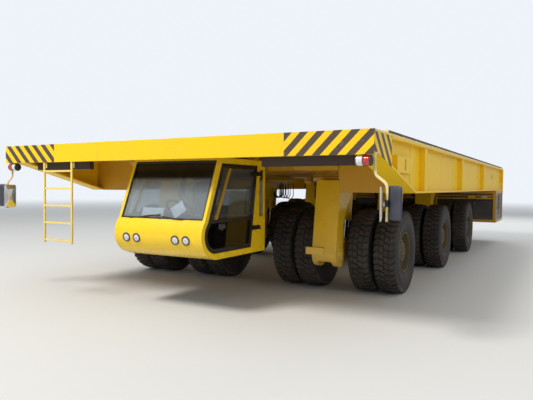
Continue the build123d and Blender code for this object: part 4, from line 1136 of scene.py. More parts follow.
@dataclass
class TwinTyres:
    """Two block-tread tyres on one hub."""

    radius: float = 0.652
    crown_drop: float = 0.011
    tread_half: float = 0.143
    rib: float = 0.065
    middle_rib: Pair = (0.071, 0.005)
    draft: float = 0.002
    groove_depth: float = 0.024
    blocks: int = 42
    filled: float = 0.68
    twin_places: Pair = (0.450, 0.850)
    wall: tuple[Point, ...] = (  # distance from the middle, radius, dirt
        (0.114, 0.3005, 0.9), (0.133, 0.302, 0.9), (0.137, 0.325, 0.8), (0.150, 0.341, 0.5), (0.155, 0.352, 0.4),
        (0.157, 0.360, 0.8), (0.166, 0.390, 0.5), (0.174, 0.430, 0.3), (0.178, 0.470, 0.2), (0.1785, 0.500, 0.2),
        (0.1780, 0.512, 0.1), (0.1750, 0.516, 0.6), (0.1735, 0.545, 0.3), (0.170, 0.565, 0.3), (0.163, 0.592, 0.6),
        (0.152, 0.612, 0.9), (0.133, 0.622, 1.0), (0.066, 0.629, 1.0), (0.0, 0.6305, 1.0),
    )
    shoulder: tuple[tuple[float, ...], ...] = (  # along and radius of the block, along and radius of the gap, turn
        (0.138, 0.590, 0.138, 0.590, 0.0), (0.1700, 0.5865, 0.1670, 0.5865, 0.0), (0.1680, 0.600, 0.1610, 0.597, 0.05),
        (0.1610, 0.626, 0.1505, 0.611, 0.15), (0.1500, 0.6385, 0.1420, 0.6195, 0.25),
    )

    def carcass(self) -> tuple[Array, Array]:
        """The tyre's body: the wall's profile, its mirror, and back through the bore, turned.

        Returns:
            (rows, 2) profile along the axle, and its dirt.
        """
        right = np.array(self.wall)
        left = right[::-1][1:] * np.array([-1.0, 1.0, 1.0])
        loop = np.concatenate([right, left, right[:1]])
        return loop[:, :2], loop[:, 2]

    def crown(self, along: Array) -> Array:
        """Radius of the tread: the full radius less a drop that grows as the square of the way to the edge."""
        return self.radius - self.crown_drop * (along / self.tread_half) ** 2

    def tread(self) -> tuple[Array, Array]:
        """The tread band: rows across the tyre, four columns for each block round it.

        Rows on a rib stand at the crown on the block's two columns and drop to the groove on the
        gap's two; rows in a groove stay down. Each row is turned by its own share of a block.

        Returns:
            (rows, columns, 3) grid about the tyre's middle with the axle along X, and its dirt.
        """
        edge, inner, (outer, near), draft = self.tread_half, self.tread_half - self.rib, self.middle_rib, self.draft
        top = self.crown(np.array([edge, inner, outer, near]))
        low = top - self.groove_depth
        ribs = (
            (edge, top[0], edge, low[0], 0.30), (inner, top[1], inner, low[1], 0.52),
            (inner - draft, low[1], inner - draft, low[1], 0.52), (outer + draft, low[2], outer + draft, low[2], 0.40),
            (outer, top[2], outer, low[2], 0.40), (near, top[3], near, low[3], 0.22),
            (near - draft, low[3], near - draft, low[3], 0.22),
        )
        right = np.array(self.shoulder + ribs)
        left = right[::-1] * np.array([-1.0, 1.0, -1.0, 1.0, 1.0])
        left[:, 4] = 1.0 - left[:, 4]
        rows = np.concatenate([right, left, right[:1]])
        step = np.array([0.0, self.filled, self.filled + 0.02, 0.98])
        up = np.tile([1.0, 1.0, 0.0, 0.0], self.blocks)
        pitch = (np.arange(self.blocks)[:, None] + step).ravel()
        along = rows[:, :1] * up + rows[:, 2:3] * (1 - up)
        radius = rows[:, 1:2] * up + rows[:, 3:4] * (1 - up)
        angle = (pitch[None] + rows[:, 4:5]) * 2.0 * np.pi / self.blocks
        high = self.crown(np.clip(along, -edge, edge)) - radius
        dirt = np.clip(high / self.groove_depth, 0.0, 1.0)
        return np.stack([along, radius * np.cos(angle), radius * np.sin(angle)], axis=-1), dirt

    def build(self, place: str, kingpin: Point, turn: float) -> None:
        """Makes both tyres of one hub.

        Args:
            place: axle, side and wheel names.
            kingpin: the bogie's centre at axle height.
            turn: 1 or -1, the way along X that the hub faces.
        """
        shell = Shell("tyre_pair_" + place, TREAD)
        profile, dirt = self.carcass()
        band, band_dirt = self.tread()
        for along in self.twin_places:
            centre = np.array(kingpin) + [turn * along, 0.0, 0.0]
            shell.add(turned(profile, centre, (turn, 0.0, 0.0), 96), mark=dirt[None, :, None])
            shell.add((centre + band)[None], mark=band_dirt[None])
        shell.build("wheels_" + place, 50.0, ["tyres_" + place])


@dataclass
class Hub:
    """Both rims of a twin on one drum, with wheel nuts and a cover."""

    profile: tuple[Pair, ...] = (  # distance from the kingpin, radius
        (0.312, 0.074), (0.312, 0.205), (0.350, 0.225), (0.350, 0.262), (0.306, 0.286), (0.300, 0.296), (0.300, 0.318),
        (0.3045, 0.323), (0.3095, 0.318), (0.3095, 0.2995), (0.5905, 0.2995), (0.5905, 0.318), (0.5955, 0.323),
        (0.600, 0.318), (0.600, 0.290), (0.615, 0.280), (0.685, 0.280), (0.700, 0.290), (0.700, 0.318), (0.7045, 0.323),
        (0.7095, 0.318), (0.7095, 0.2995), (0.9905, 0.2995), (0.9905, 0.318), (0.9955, 0.323), (1.0000, 0.318),
        (1.0000, 0.300), (0.9960, 0.294), (0.9880, 0.293), (0.9840, 0.284), (0.9760, 0.281), (0.9350, 0.276),
        (0.9080, 0.262), (0.8940, 0.244), (0.8900, 0.232), (0.8900, 0.182), (0.8960, 0.172), (0.9400, 0.160),
        (0.9460, 0.152), (0.9560, 0.152), (0.9580, 0.146), (0.9580, 0.118), (0.9640, 0.108), (0.9720, 0.094),
        (0.9745, 0.070), (0.9745, 0.0),
    )
    nut: tuple[Pair, ...] = (
        (-0.004, 0.0235), (0.002, 0.0235), (0.003, 0.0175), (0.022, 0.0175), (0.025, 0.0140), (0.025, 0.010),
        (0.040, 0.010), (0.042, 0.007),
    )
    nut_circle: float = 0.2075
    nut_place: float = 0.890
    nuts: int = 10
    bolt_circle: float = 0.132
    bolt_place: float = 0.9575
    bolts: int = 12
    first_turn: float = 0.2

    def build(self, place: str, kingpin: Point, turn: float) -> None:
        """Makes the hub of one twin.

        Args:
            place: axle, side and wheel names.
            kingpin: the bogie's centre at axle height.
            turn: 1 or -1, the way along X that the hub faces.
        """
        shell = Shell("wheel_hub_" + place, RIM_DIRT_AND_SHADE_PAINT, STEEL)
        centre, axis = np.array(kingpin), (turn, 0.0, 0.0)
        shell.turn(self.profile, centre, axis, 72)
        back = self.profile[0]
        shell.turn([(back[0], 0.0), back], centre, axis, 72)
        nuts = bolt_circle(self.nut_circle, self.nuts, self.nut_place * turn, 0, self.first_turn)
        shell.turn(capped(*self.nut), centre + nuts, axis, 6, 1)
        bolts = bolt_circle(self.bolt_circle, self.bolts, self.bolt_place * turn, 0, self.first_turn)
        shell.turn(capped((-0.003, 0.0085), (0.006, 0.0085), (0.008, 0.006)), centre + bolts, axis, 6, 1)
        valve = np.array([(0.94, 0.0, 0.262), (0.97, 0.0, 0.245), (0.995, 0.0, 0.243)]) * [turn, 1, 1]
        shell.sweep(smooth_path(centre + valve, 4), circle(0.005, 8), 1)
        shell.build("wheels_" + place, 32.0, ["hub_" + place])


@dataclass
class BogieDress:
    """What a bogie carries over its plain leg and arm: ring band, bolts, pin covers, cylinder and hoses."""

    ring_low: float = 1.7596
    ring_top: float = 1.8194
    ring_radius: float = 0.5225
    ring_bolts: int = 36
    hose_clear: float = 0.225
    foot_back: float = 0.680
    foot_height: float = 0.630
    leg_half: float = 0.195
    pin_radius: float = 0.128
    pin_bolts: int = 8
    cylinder_top: Point = (0.0, 0.090, 1.540)
    cylinder_foot: Point = (0.0, -0.040, 0.720)
    barrel: float = 0.430
    rod_radius: float = 0.0603
    hose_loop: float = 0.096
    hose_height: float = 1.500
    hose_top: float = 1.7596
    hose_block: float = 1.630
    strands: tuple[tuple[float, ...], ...] = (  # y, radius, inboard, widening, hanging lower
        (-0.180, 0.0172, 0.320, 0.0, 0.0), (-0.260, 0.0172, 0.320, 0.0, 0.0), (-0.090, 0.0105, 0.352, -0.012, 0.020),
        (0.030, 0.0115, 0.345, 0.010, 0.010), (0.140, 0.0100, 0.360, -0.006, 0.028),
        (0.265, 0.0100, 0.372, 0.004, 0.045),
    )
    feed_line: tuple[Point, ...] = ((0.06, 0.02, 1.60), (0.13, -0.03, 1.52), (0.125, -0.07, 1.36), (0.105, -0.06, 1.20))

    def hoses(self, shell: Shell, kingpin: Array, inboard: float) -> None:
        """Hanging hoses: straight down, half a circle, and up into the block; thinner ones hang lower.

        Args:
            shell: takes the hoses as slot 2 and their ferrules as slot 3.
            kingpin: the bogie's centre on the ground.
            inboard: the direction of the vehicle's middle.
        """
        angle = np.linspace(0.0, np.pi, 15)
        for y, radius, middle, wide, drop in self.strands:
            end = self.hose_block - 0.075 if middle == self.strands[0][2] else self.hose_top - 0.038
            reach, low = self.hose_loop + wide, self.hose_height - drop
            sway = y + 0.25 * wide * np.sin(2 * angle)
            arc = np.stack([middle + reach * np.cos(angle), sway, low - reach * np.sin(angle)], axis=1)
            path = np.concatenate([[[middle + reach, y, self.hose_top - 0.002]], arc, [[middle - reach, y, end]]])
            path = kingpin + path * np.array([inboard, 1.0, 1.0])
            shell.sweep(path, circle(radius, 12), 2)
            ferrule = capped((0.0, radius * 1.22), (0.034, radius * 1.22), (0.036, radius * 1.02))
            shell.turn(ferrule, [path[0] + [0, 0, 0.002], path[-1]], DOWN, 12, 3)

    def pins(self, shell: Shell, kingpin: Array, bolt: Array) -> None:
        """A cover with its bolts on each end of the foot's pin.

        Args:
            shell: takes the covers as slot 0 and the bolts as slot 3.
            kingpin: the bogie's centre on the ground.
            bolt: the bolts' profile.
        """
        radius = self.pin_radius
        cover = [
            (-0.002, radius), (0.006, 0.132), (0.012, 0.130), (0.012, 0.100), (0.0155, 0.097), (0.0185, 0.093),
            (0.0185, 0.045), (0.024, 0.040), (0.024, 0.0),
        ]
        for face in (LEFT, RIGHT):
            pin = kingpin + [face * self.leg_half, -self.foot_back, self.foot_height]
            shell.turn(cover, pin, (face, 0.0, 0.0), 48)
            shell.turn([(-0.002, 0.0), (-0.002, radius)], pin, (face, 0.0, 0.0), 48)
            ring = bolt_circle(0.114, self.pin_bolts, face * 0.012, 0, 0.3)
            shell.turn(bolt, pin + ring, (face, 0.0, 0.0), 6, 3)

    def cylinder(self, shell: Shell, kingpin: Array) -> None:
        """The barrel's sleeve and gland about its own axis, and the rod out to its foot.

        Args:
            shell: takes the sleeve as slot 0 and the rod as slot 1.
            kingpin: the bogie's centre on the ground.
        """
        start, end, thin = kingpin + self.cylinder_top, self.barrel, self.rod_radius
        line = np.subtract(self.cylinder_foot, self.cylinder_top)
        reach = float(np.linalg.norm(line))
        sleeve = [
            (0.010, 0.0), (0.010, 0.099), (end - 0.055, 0.099), (end - 0.050, 0.109), (end - 0.012, 0.109),
            (end - 0.006, 0.105), (end - 0.002, 0.094), (end, 0.080), (end + 0.0002, 0.0),
        ]
        shell.turn(sleeve, start, line, 40)
        rod = [(end - 0.01, 0.0), (end - 0.01, thin), (reach - 0.10, thin), (reach - 0.09, 0.0)]
        shell.turn(rod, start, line, 32, 1)

    def build(self, place: str, kingpin: Point, side: float) -> None:
        """Dresses one bogie.

        Args:
            place: axle and side names.
            kingpin: the bogie's centre on the ground.
            side: LEFT or RIGHT.
        """
        centre = np.array(kingpin)
        shell = Shell("bogie_fittings_" + place, BOGIE_PAINT, CHROME, HOSE, STEEL)
        low, top, radius = self.ring_low, self.ring_top, self.ring_radius
        band = [
            (low + 0.004, radius - 0.03), (low - 0.002, radius - 0.026), (low - 0.002, radius - 0.002),
            (low + 0.002, radius), (top - 0.004, radius), (top, radius - 0.004), (top, radius - 0.03),
            (low + 0.004, radius - 0.03),
        ]
        shell.turn(band, centre, UP, 96)
        under = bolt_circle(radius - 0.042, self.ring_bolts, low, 2)
        bolt = np.array(capped((-0.004, 0.017), (0.014, 0.017), (0.016, 0.013)))
        shell.turn(bolt, centre + under[np.abs(under[:, 0]) > self.hose_clear], DOWN, 6, 3)
        self.pins(shell, centre, bolt * [0.7, 0.55])
        self.cylinder(shell, centre)
        feed = centre + np.array(self.feed_line) * [-side, 1, 1]
        shell.sweep(smooth_path(feed, 8), circle(0.009, 10), 2)
        self.hoses(shell, centre, -side)
        shell.build("bogie_" + place, 36.0)


@dataclass
class SlewRings:
    """Round bearing rings under the girders, with a row of bolts."""

    low: float = 1.8204
    high: float = 1.900
    radius: float = 0.560
    flange: float = 0.022
    bolts: int = 40

    def build(self) -> None:
        """Makes all six fixed rings: an outer ring, a seal lip and bolts from below."""
        shell = Shell("slewing_bearings", SHADED_UNDERSIDE_PAINT, STEEL, SEAL)
        centres = np.array([(side * KINGPIN, y, 0.0) for y in AXLES.values() for side in (LEFT, RIGHT)])
        low, high, radius, under = self.low, self.high, self.radius, self.high - self.flange
        ring = [
            (high, 0.0), (high, radius), (under, radius), (high - 0.026, radius - 0.016), (low + 0.004, radius - 0.016),
            (low, radius - 0.020), (low, radius - 0.03), (low + 0.0005, 0.0),
        ]
        shell.turn(ring, centres, UP, 96)
        places = (centres[:, None] + bolt_circle(radius - 0.008, self.bolts, under, 2)).reshape(-1, 3)
        shell.turn(capped((-0.003, 0.0105), (0.012, 0.0105), (0.014, 0.008)), places, DOWN, 6, 1)
        shell.build("root", 36.0, ["slew_rings"])


# Cab


@dataclass
class Cab:
    """Everything on and in the driver's cab that the plain panels lack.

    Pairs of a place are how far behind the front face, or how far across, and how high.
    """

    left: float = 0.780
    right: float = -0.700
    wall: float = 0.045
    middle: float = 0.040
    sill: Pair = (0.130, 1.220)
    head: Pair = (0.445, 2.000)
    screen_up: Point = (0.0, 0.3745, 0.9273)
    screen_out: Point = (0.0, -0.9273, 0.3745)
    lamp_places: tuple[float, ...] = (-0.482, -0.302, 0.356, 0.530)
    lamp_height: float = 0.960
    nose_centre: Pair = (0.3462, 1.0161)
    nose_radius: float = 0.2971
    blades: tuple[tuple[Pair, Pair], ...] = (((-0.493, 1.205), (0.034, 1.262)), ((0.068, 1.240), (0.426, 1.205)))
    spindle_height: float = 1.232
    handle: Pair = (0.500, 1.130)
    grip: tuple[Point, ...] = (  # off the door, behind the front face, height
        (0.004, 0.445, 1.135), (0.020, 0.455, 1.135), (0.021, 0.500, 1.135), (0.020, 0.545, 1.135),
        (0.004, 0.555, 1.135),
    )
    bar: tuple[Point, ...] = ((0.0, 1.200, 1.260), (0.045, 1.203, 1.262), (0.045, 1.262, 1.640), (0.0, 1.262, 1.642))
    cards_at: tuple[tuple[float, ...], ...] = (  # across, height, width, length, degrees of tilt
        (-0.14, 1.31, 0.38, 0.14, 0.0), (0.28, 1.36, 0.20, 0.18, 40.0),
    )
    shroud: tuple[Pair, ...] = ((0.195, 0.995), (0.195, 1.215), (0.425, 1.215), (0.4725, 0.745), (0.3825, 0.745))
    shroud_rows: tuple[Pair, ...] = ((0.0, 0.0), (0.0, 0.965), (0.012, 1.0), (1.088, 1.0), (1.10, 0.965), (1.10, 0.0))
    hood: Pair = (0.345, 1.225)
    hood_tilt: float = 35.0
    wheel_centre: Pair = (0.560, 1.330)
    wheel_foot: Pair = (0.400, 1.100)
    wall_power: float = 0.42
    corner_power: float = 0.36
    face_power: float = 0.62
    stuffing: float = 0.13
    crown_fall: float = 0.55
    flat_share: float = 0.92
    channels: tuple[float, ...] = (-0.42, 0.0, 0.42)
    channel_width: float = 0.035
    channel_depth: float = 0.085
    folds: int = 15

    def on_screen(self, x: ArrayLike, height: ArrayLike, out: float = 0.0) -> Array:
        """Points on the leaning screen: a straight line from sill to head, moved square to it.

        Args:
            x: places across.
            height: heights.
            out: distance outwards from the panels' face; negative is inwards.

        Returns:
            (..., 3) points.
        """
        height, rise = np.asarray(height, float), np.subtract(self.head, self.sill)
        back = self.sill[0] + (height - self.sill[1]) / rise[1] * rise[0]
        lean = rise / np.linalg.norm(rise)
        return np.stack([np.broadcast_to(x, back.shape), FRONT + back - out * lean[1], height + out * lean[0]], axis=-1)

    def inside(self, place: Pair) -> Array:
        """The point at the cab's middle that lies so far behind the front face and so high."""
        return np.array([self.middle, FRONT + place[0], place[1]])

    def headlamps(self) -> None:
        """Four round headlamps: bezel, ring, domed lens and bulb about an axis square to the nose."""
        shell = Shell("headlamp_set", CHROME, CLEAR_LENS, TRIM)
        angle = math.asin((self.nose_centre[1] - self.lamp_height) / self.nose_radius)
        axis = (0.0, -math.cos(angle), -math.sin(angle))
        y = FRONT + (self.nose_centre[0] - self.nose_radius * math.cos(angle))
        places = lattice(self.lamp_places, y, self.lamp_height)
        bezel = [
            (-0.016, 0.0485), (-0.016, 0.062), (0.004, 0.064), (0.011, 0.061), (0.014, 0.056), (0.012, 0.050),
            (-0.004, 0.0475), (-0.016, 0.0485),
        ]
        ring = [(-0.003, 0.0480), (0.006, 0.0495), (0.008, 0.0465), (0.004, 0.0440), (-0.003, 0.0480)]
        bend = np.linspace(0.0, np.pi / 2, 9)
        dome = np.stack([-0.002 + 0.014 * np.sin(bend), 0.0462 * np.cos(bend)], axis=1)
        bulb = [(0.0105, 0.0), (0.0108, 0.013), (0.0125, 0.015), (0.0145, 0.012), (0.0155, 0.0)]
        shell.turn(bezel, places, axis, 48, 2)
        shell.turn(ring, places, axis, 48)
        shell.turn([(-0.010, 0.0), (-0.010, 0.0462), *dome], places, axis, 48, 1)
        shell.turn(bulb, places, axis, 24)
        shell.build("root", 40.0)

    def wipers(self) -> None:
        """Two wipers parked along the foot of the screen: spindle, arm and rubber blade."""
        shell = Shell("screen_wipers", TRIM, SEAL)
        spindle = capped((-0.03, 0.017), (0.012, 0.017), (0.016, 0.012))
        for start, end in self.blades:
            x, height = np.linspace(start, end, 14).T + [[0.0], [0.012]]
            shell.sweep(self.on_screen(x, height, 0.002), rounded(0.008, 0.018, 0.003), 1)
            far, near = self.on_screen(x[::13], height[::13], 0.020)
            foot = self.on_screen(end[0], self.spindle_height, 0.012)
            knots = np.array([far * 0.55 + near * 0.45, far * 0.2 + near * 0.8, foot])
            shell.sweep(smooth_path(knots, 8), rounded(0.012, 0.008, 0.003))
            shell.turn(spindle, self.on_screen(end[0], self.spindle_height), self.screen_out, 20)
        shell.build("root", 40.0)

    def seals(self) -> None:
        """Rubber round the windscreen."""
        shell = Shell("cab_seals", SEAL)
        low, high = self.sill[1] + 0.014, self.head[1] - 0.016
        left, right = self.left - self.wall - 0.008, self.right + self.wall + 0.008
        corners = self.on_screen([left, right, right, left], [low, low, high, high], -0.008)
        shell.border(corners, rounded(0.022, 0.020, 0.006), 6)
        shell.build("root", 40.0)

    def door_fittings(self) -> None:
        """Handle with its cup, lock and a grab bar on the door."""
        shell = Shell("door_handle", TRIM, STEEL, SEAL)
        door = np.array([self.left, FRONT, 0.0])
        cup = door + [0.002, *self.handle]
        lock = capped((0.0, 0.010), (0.006, 0.010), (0.007, 0.008))
        shell.box(cup, (0.010, 0.150, 0.070), 0, 0.0045)
        shell.sweep(smooth_path(door + self.grip, 6), rounded(0.010, 0.022, 0.004))
        shell.turn(lock, cup - [0.0, 0.0, 0.045], ACROSS, 20, 1)
        shell.sweep(bent_path(door + self.bar, 0.03), circle(0.0105, 14))
        shell.build("cab_door", 40.0)

    def cards(self) -> None:
        """Two blank cards stuck inside the screen."""
        shell = Shell("blank_cards", CARD)
        across, up, out = np.array(ACROSS), np.array(self.screen_up), np.array(self.screen_out)
        for x, height, wide, tall, degrees in self.cards_at:
            cos, sin = cos_sin(degrees)
            axes = (cos * across + sin * up, -sin * across + cos * up, out)
            shell.box(self.on_screen(x, height, -0.034), (wide, tall, 0.002), 0, 0.0009, axes)
        shell.build("root", 40.0)

    def console(self) -> None:
        """Driver's console: a padded shroud, a dial hood, switches and the wheel on its column."""
        shell = Shell("driver_console", TRIM, CARD, STEEL, SEAL)
        ring = np.array(self.shroud)
        mid, share = ring.mean(axis=0), np.linspace(0.06, 0.94, 6)[:, None]
        outline = np.concatenate([a + (b - a) * share for a, b in zip(ring, np.roll(ring, -1, 0))]) - mid
        end = (self.middle - 0.55, FRONT + mid[0], mid[1])
        shell.add(stacked(end, outline, *np.array(self.shroud_rows).T, LYING))
        cos, sin = cos_sin(self.hood_tilt)
        face, hood = np.array([ACROSS, (0.0, -sin, cos), (0.0, cos, sin)]), self.inside(self.hood)
        shell.box(hood, (0.46, 0.12, 0.12), 0, 0.02, face)
        dial = capped((-0.004, 0.036), (0.004, 0.036), (0.005, 0.033), (0.002, 0.030))
        shell.turn(dial, hood + face[2] * 0.06 + np.linspace(-0.15, 0.15, 4)[:, None] * face[0], face[2], 32, 1)
        keys = [(self.middle + x, FRONT + y, 1.219) for y in (0.30, 0.36) for x in np.linspace(-0.46, -0.30, 4)]
        shell.box(keys, (0.026, 0.036, 0.014), 1, 0.003)
        self.wheel(shell)
        shell.build("root", 34.0, ["cab_dash"])

    def wheel(self, shell: Shell) -> None:
        """The steering wheel: a round rim about the column's axis, boss, three spokes and column.

        Args:
            shell: takes the boss and the column as slot 0, the spokes as slot 2 and the rim as slot 3.
        """
        centre, foot = self.inside(self.wheel_centre), self.inside(self.wheel_foot)
        axis = unit(centre - foot)
        loop = np.linspace(0.0, 2 * np.pi, 13)
        rim = np.stack([0.012 + 0.0135 * np.sin(loop), 0.200 + 0.0135 * np.cos(loop)], axis=1)
        boss = [(-0.02, 0.0), (-0.02, 0.050), (0.0, 0.056), (0.018, 0.050), (0.024, 0.038), (0.025, 0.0)]
        shell.turn(rim, centre, axis, 72, 3)
        shell.turn(boss, centre, axis, 40)
        first, second = cross_axes(axis)
        out, rise = np.array([(0.03, 0.006), (0.11, 0.010), (0.192, 0.012)]).T[:, :, None]
        for turn in (0.35, math.pi - 0.35, 1.5 * math.pi):
            spoke = first * math.cos(turn) + second * math.sin(turn)
            shell.sweep(centre + spoke * out + axis * rise, rounded(0.030, 0.010, 0.004), 2)
        shell.turn(capped((0.0, 0.046), (0.03, 0.036), (0.06, 0.030), (0.262, 0.030)), foot, axis, 32)

    def cushion(self, name: str, centre: Point, size: Point, top: int) -> None:
        """Makes a stuffed pad: each point runs along a direction, at half the size times the cosine
        and sine shares raised to a small power, so that the faces crown and the corners pull in;
        sewn channels press in where their own lines run across the sitting face.

        Args:
            name: the piece's name.
            centre: middle of the pad.
            size: full sizes.
            top: the axis that the sitting face looks along, 2 for up or 1 for forward.
        """
        u = np.linspace(-np.pi / 2, np.pi / 2, 41)[:, None]
        v = np.linspace(-np.pi, np.pi, 96, endpoint=False)[None]

        def power(share: Array, by: float) -> Array:
            """Keeps the sign and raises the size."""
            return np.sign(share) * np.abs(share) ** by

        wall = power(np.cos(u), self.wall_power)
        x, y = (wall * power(share, self.corner_power) for share in (np.cos(v), np.sin(v)))
        z = power(np.sin(u), self.face_power) + 0.0 * v
        shape = np.stack([x, y, z] if top == 2 else [x, -z, y], axis=-1)
        sitting = np.clip(z, 0.0, 1.0)
        crown = sitting * (1.0 - self.crown_fall * (x**2 + y**2) / 2)
        sewn = np.exp(-(((x[..., None] - np.array(self.channels)) / self.channel_width) ** 2)).sum(-1)
        swell = (1.0 - self.stuffing) + self.stuffing * crown - self.channel_depth * sewn * sitting
        shape[..., top] *= np.where(z > 0, swell, self.flat_share)
        shell = Shell(name, VINYL)
        shell.add((centre + shape * np.array(size) / 2.0)[None])
        piece = shell.build("root", 180.0)

    def seat(self) -> None:
        """Driver's seat: cushion, back rest and a sprung base with bellows."""
        self.cushion("seat_cushion", (self.middle, FRONT + 1.045, 1.128), (0.50, 0.49, 0.124), 2)
        self.cushion("seat_back", (self.middle, FRONT + 1.236, 1.480), (0.48, 0.128, 0.56), 1)
        shell = Shell("seat_base", TRIM, STEEL, SEAL)
        base = self.inside((1.05, 0.0))
        shell.box(base + [0, 0, 0.758], (0.32, 0.32, 0.024), 1)
        height = np.pad(np.linspace(0.772, 1.052, self.folds), 1, "edge")
        wide = np.pad(np.where(np.arange(self.folds) % 2 == 0, 0.150, 0.130), 1)
        shell.add(stacked(base, rounded(2.0, 2.0, 0.3, 5), height, wide), 2)
        shell.box(base + [0, 0, 1.060], (0.42, 0.40, 0.020))
        shell.build("root", 36.0, ["cab_seat"])

    def build(self) -> None:
        """Makes every piece of the cab."""
        self.headlamps()
        self.wipers()
        self.seals()
        self.door_fittings()
        self.cards()
        self.console()
        self.seat()


# Fittings on the platform


@dataclass
class CornerLamps:
    """Marker lamps under the front corners and lamp clusters in the rear plate."""

    inner: float = 2.780
    length: float = 0.180
    height: float = 1.9397
    setback: float = 0.062
    radius: float = 0.060
    tail_middle: float = 2.450
    tail_width: float = 0.340
    tail_height: float = 0.110
    tail_top: float = 2.175
    tail_plate: float = 6.578
    tail_lens: float = 6.589
    tail_screw: float = 6.584

    def build(self) -> None:
        """Makes the lamps of both sides: turned barrels about X in front, fluted blocks behind."""
        shell = Shell("lamp_set", CLEAR_LENS, RED_LENS, TRIM, AMBER_LENS, STEEL)
        start = np.array([self.inner, FRONT + self.setback, self.height])
        end, inward = start + [self.length, 0, 0], (-1.0, 0.0, 0.0)
        half, r = self.length / 2, self.radius
        cap = capped((0.0, r * 0.80), (0.004, r * 0.92), (0.012, r * 0.98), (0.016, r), (0.018, r * 0.93))
        lens = capped((0.017, r * 0.93), (0.030, r * 0.98), (half - 0.010, r * 0.98), (half - 0.003, r * 0.93))
        band = capped((half - 0.004, r * 0.97), (half - 0.002, r), (half + 0.002, r), (half + 0.004, r * 0.97))
        for profile, inner, outer in ((cap, 2, 2), (lens, 0, 1)):
            shell.turn(profile, start, ACROSS, 40, inner)
            shell.turn(profile, end, inward, 40, outer)
        shell.turn(band, start, ACROSS, 40, 2)
        shell.box(start + [half, 0.0, r * 0.98 - 0.004], (0.050, 0.050, 0.012), 2, 0.003)
        tail = np.array([self.tail_middle, 0.0, self.tail_top - self.tail_height / 2])
        plate = (self.tail_width - 0.004, 0.014, self.tail_height - 0.004)
        shell.box(tail + [0.0, self.tail_plate, 0.0], plate, 2, 0.005)
        for shift, slot in ((-0.112, 0), (0.0, 3), (0.112, 1)):
            shell.box(tail + [shift, self.tail_lens, 0.0], (0.100, 0.018, self.tail_height - 0.016), slot, 0.007)
        screws = tail + [(-0.162, self.tail_screw, 0.0), (0.162, self.tail_screw, 0.0)]
        shell.turn(capped((0.0, 0.005), (0.0125, 0.005), (0.014, 0.003)), screws, ASTERN, 12, 4)
        shell.mirrored().build(replaces=["lamps"])


@dataclass
class Mirrors:
    """Bent tube and two mirror heads at each front corner."""

    root: Point = (2.980, -6.500, 2.0270)
    corners: tuple[Point, ...] = ((2.980, -6.500, 1.790), (3.110, -6.500, 1.690), (3.110, -6.500, 1.290))
    tube: float = 0.0155
    bend: float = 0.045
    heads: tuple[tuple[float, ...], ...] = (  # along, away, width, low, high, degrees
        (0.020, 0.060, 0.180, 1.300, 1.665, 107.0),
        (0.075, 0.034, 0.170, 1.315, 1.675, -25.0),
    )
    thick: float = 0.026

    def build(self) -> None:
        """Makes the arms and the heads, rounded outlines stacked from back to rim, and their mirror images."""
        arms = Shell("mirror_arm_tubes", CREAM_PAINT, STEEL, SEAL)
        shells = Shell("mirror_shells", PALE_SHELL, MIRROR, MIRROR_SHELL)
        arms.sweep(bent_path(np.array([self.root, *self.corners]), self.bend), circle(self.tube, 20))
        arms.turn(capped((0.0, 0.036), (0.008, 0.036), (0.010, 0.020), (0.028, 0.0185)), self.root, DOWN, 28)
        plug = [(0.0, 0.0), (0.0, 0.016), (0.004, 0.0175), (0.012, 0.0165), (0.014, 0.0)]
        arms.turn(plug, np.array(self.corners[-1]) + [0, 0, 0.012], DOWN, 20, 2)
        collar = capped((-0.03, 0.0205), (-0.026, 0.0225), (0.026, 0.0225), (0.03, 0.0205))
        t = self.thick / 2
        dish = np.array([  # depth and size of each outline
            (-t, 0.0), (-t, 0.60), (-t + 0.001, 0.72), (-t + 0.004, 0.86), (-t + 0.009, 0.95), (0.004, 1.0),
            (t - 0.001, 1.0), (t, 0.985), (t - 0.002, 0.96), (t - 0.004, 0.0),
        ])
        pane = np.array([(t - 0.005, 0.0), (t - 0.005, 1.0), (t - 0.0012, 1.0), (t - 0.0008, 0.98), (t - 0.0008, 0.0)])
        for slot, (along, away, width, low, high, degrees) in zip((0, 2), self.heads):
            cos, sin = cos_sin(degrees)
            wide, deep = np.array([cos, sin, 0.0]), np.array([-sin, cos, 0.0])
            pole = np.array([*self.corners[-1][:2], (low + high) / 2])
            middle = pole + wide * along + deep * away
            for rows, less, radius, finish in ((dish, 0.0, 0.028, slot), (pane, 0.016, 0.022, 1)):
                outline = rounded(width - less, high - low - less, radius, 6)
                shells.add(stacked(middle, outline, *rows.T, (wide, UP, deep)), finish)
            reach = away - t
            arms.box(pole + deep * (reach / 2), (0.022, reach, 0.046), 1, 0.004, (wide, deep, UP))
            arms.turn(collar, pole, UP, 24, 2)
        arms.mirrored().build("root", 36.0, ["mirror_arms"])
        shells.mirrored().build("root", 36.0, ["mirror_heads"])


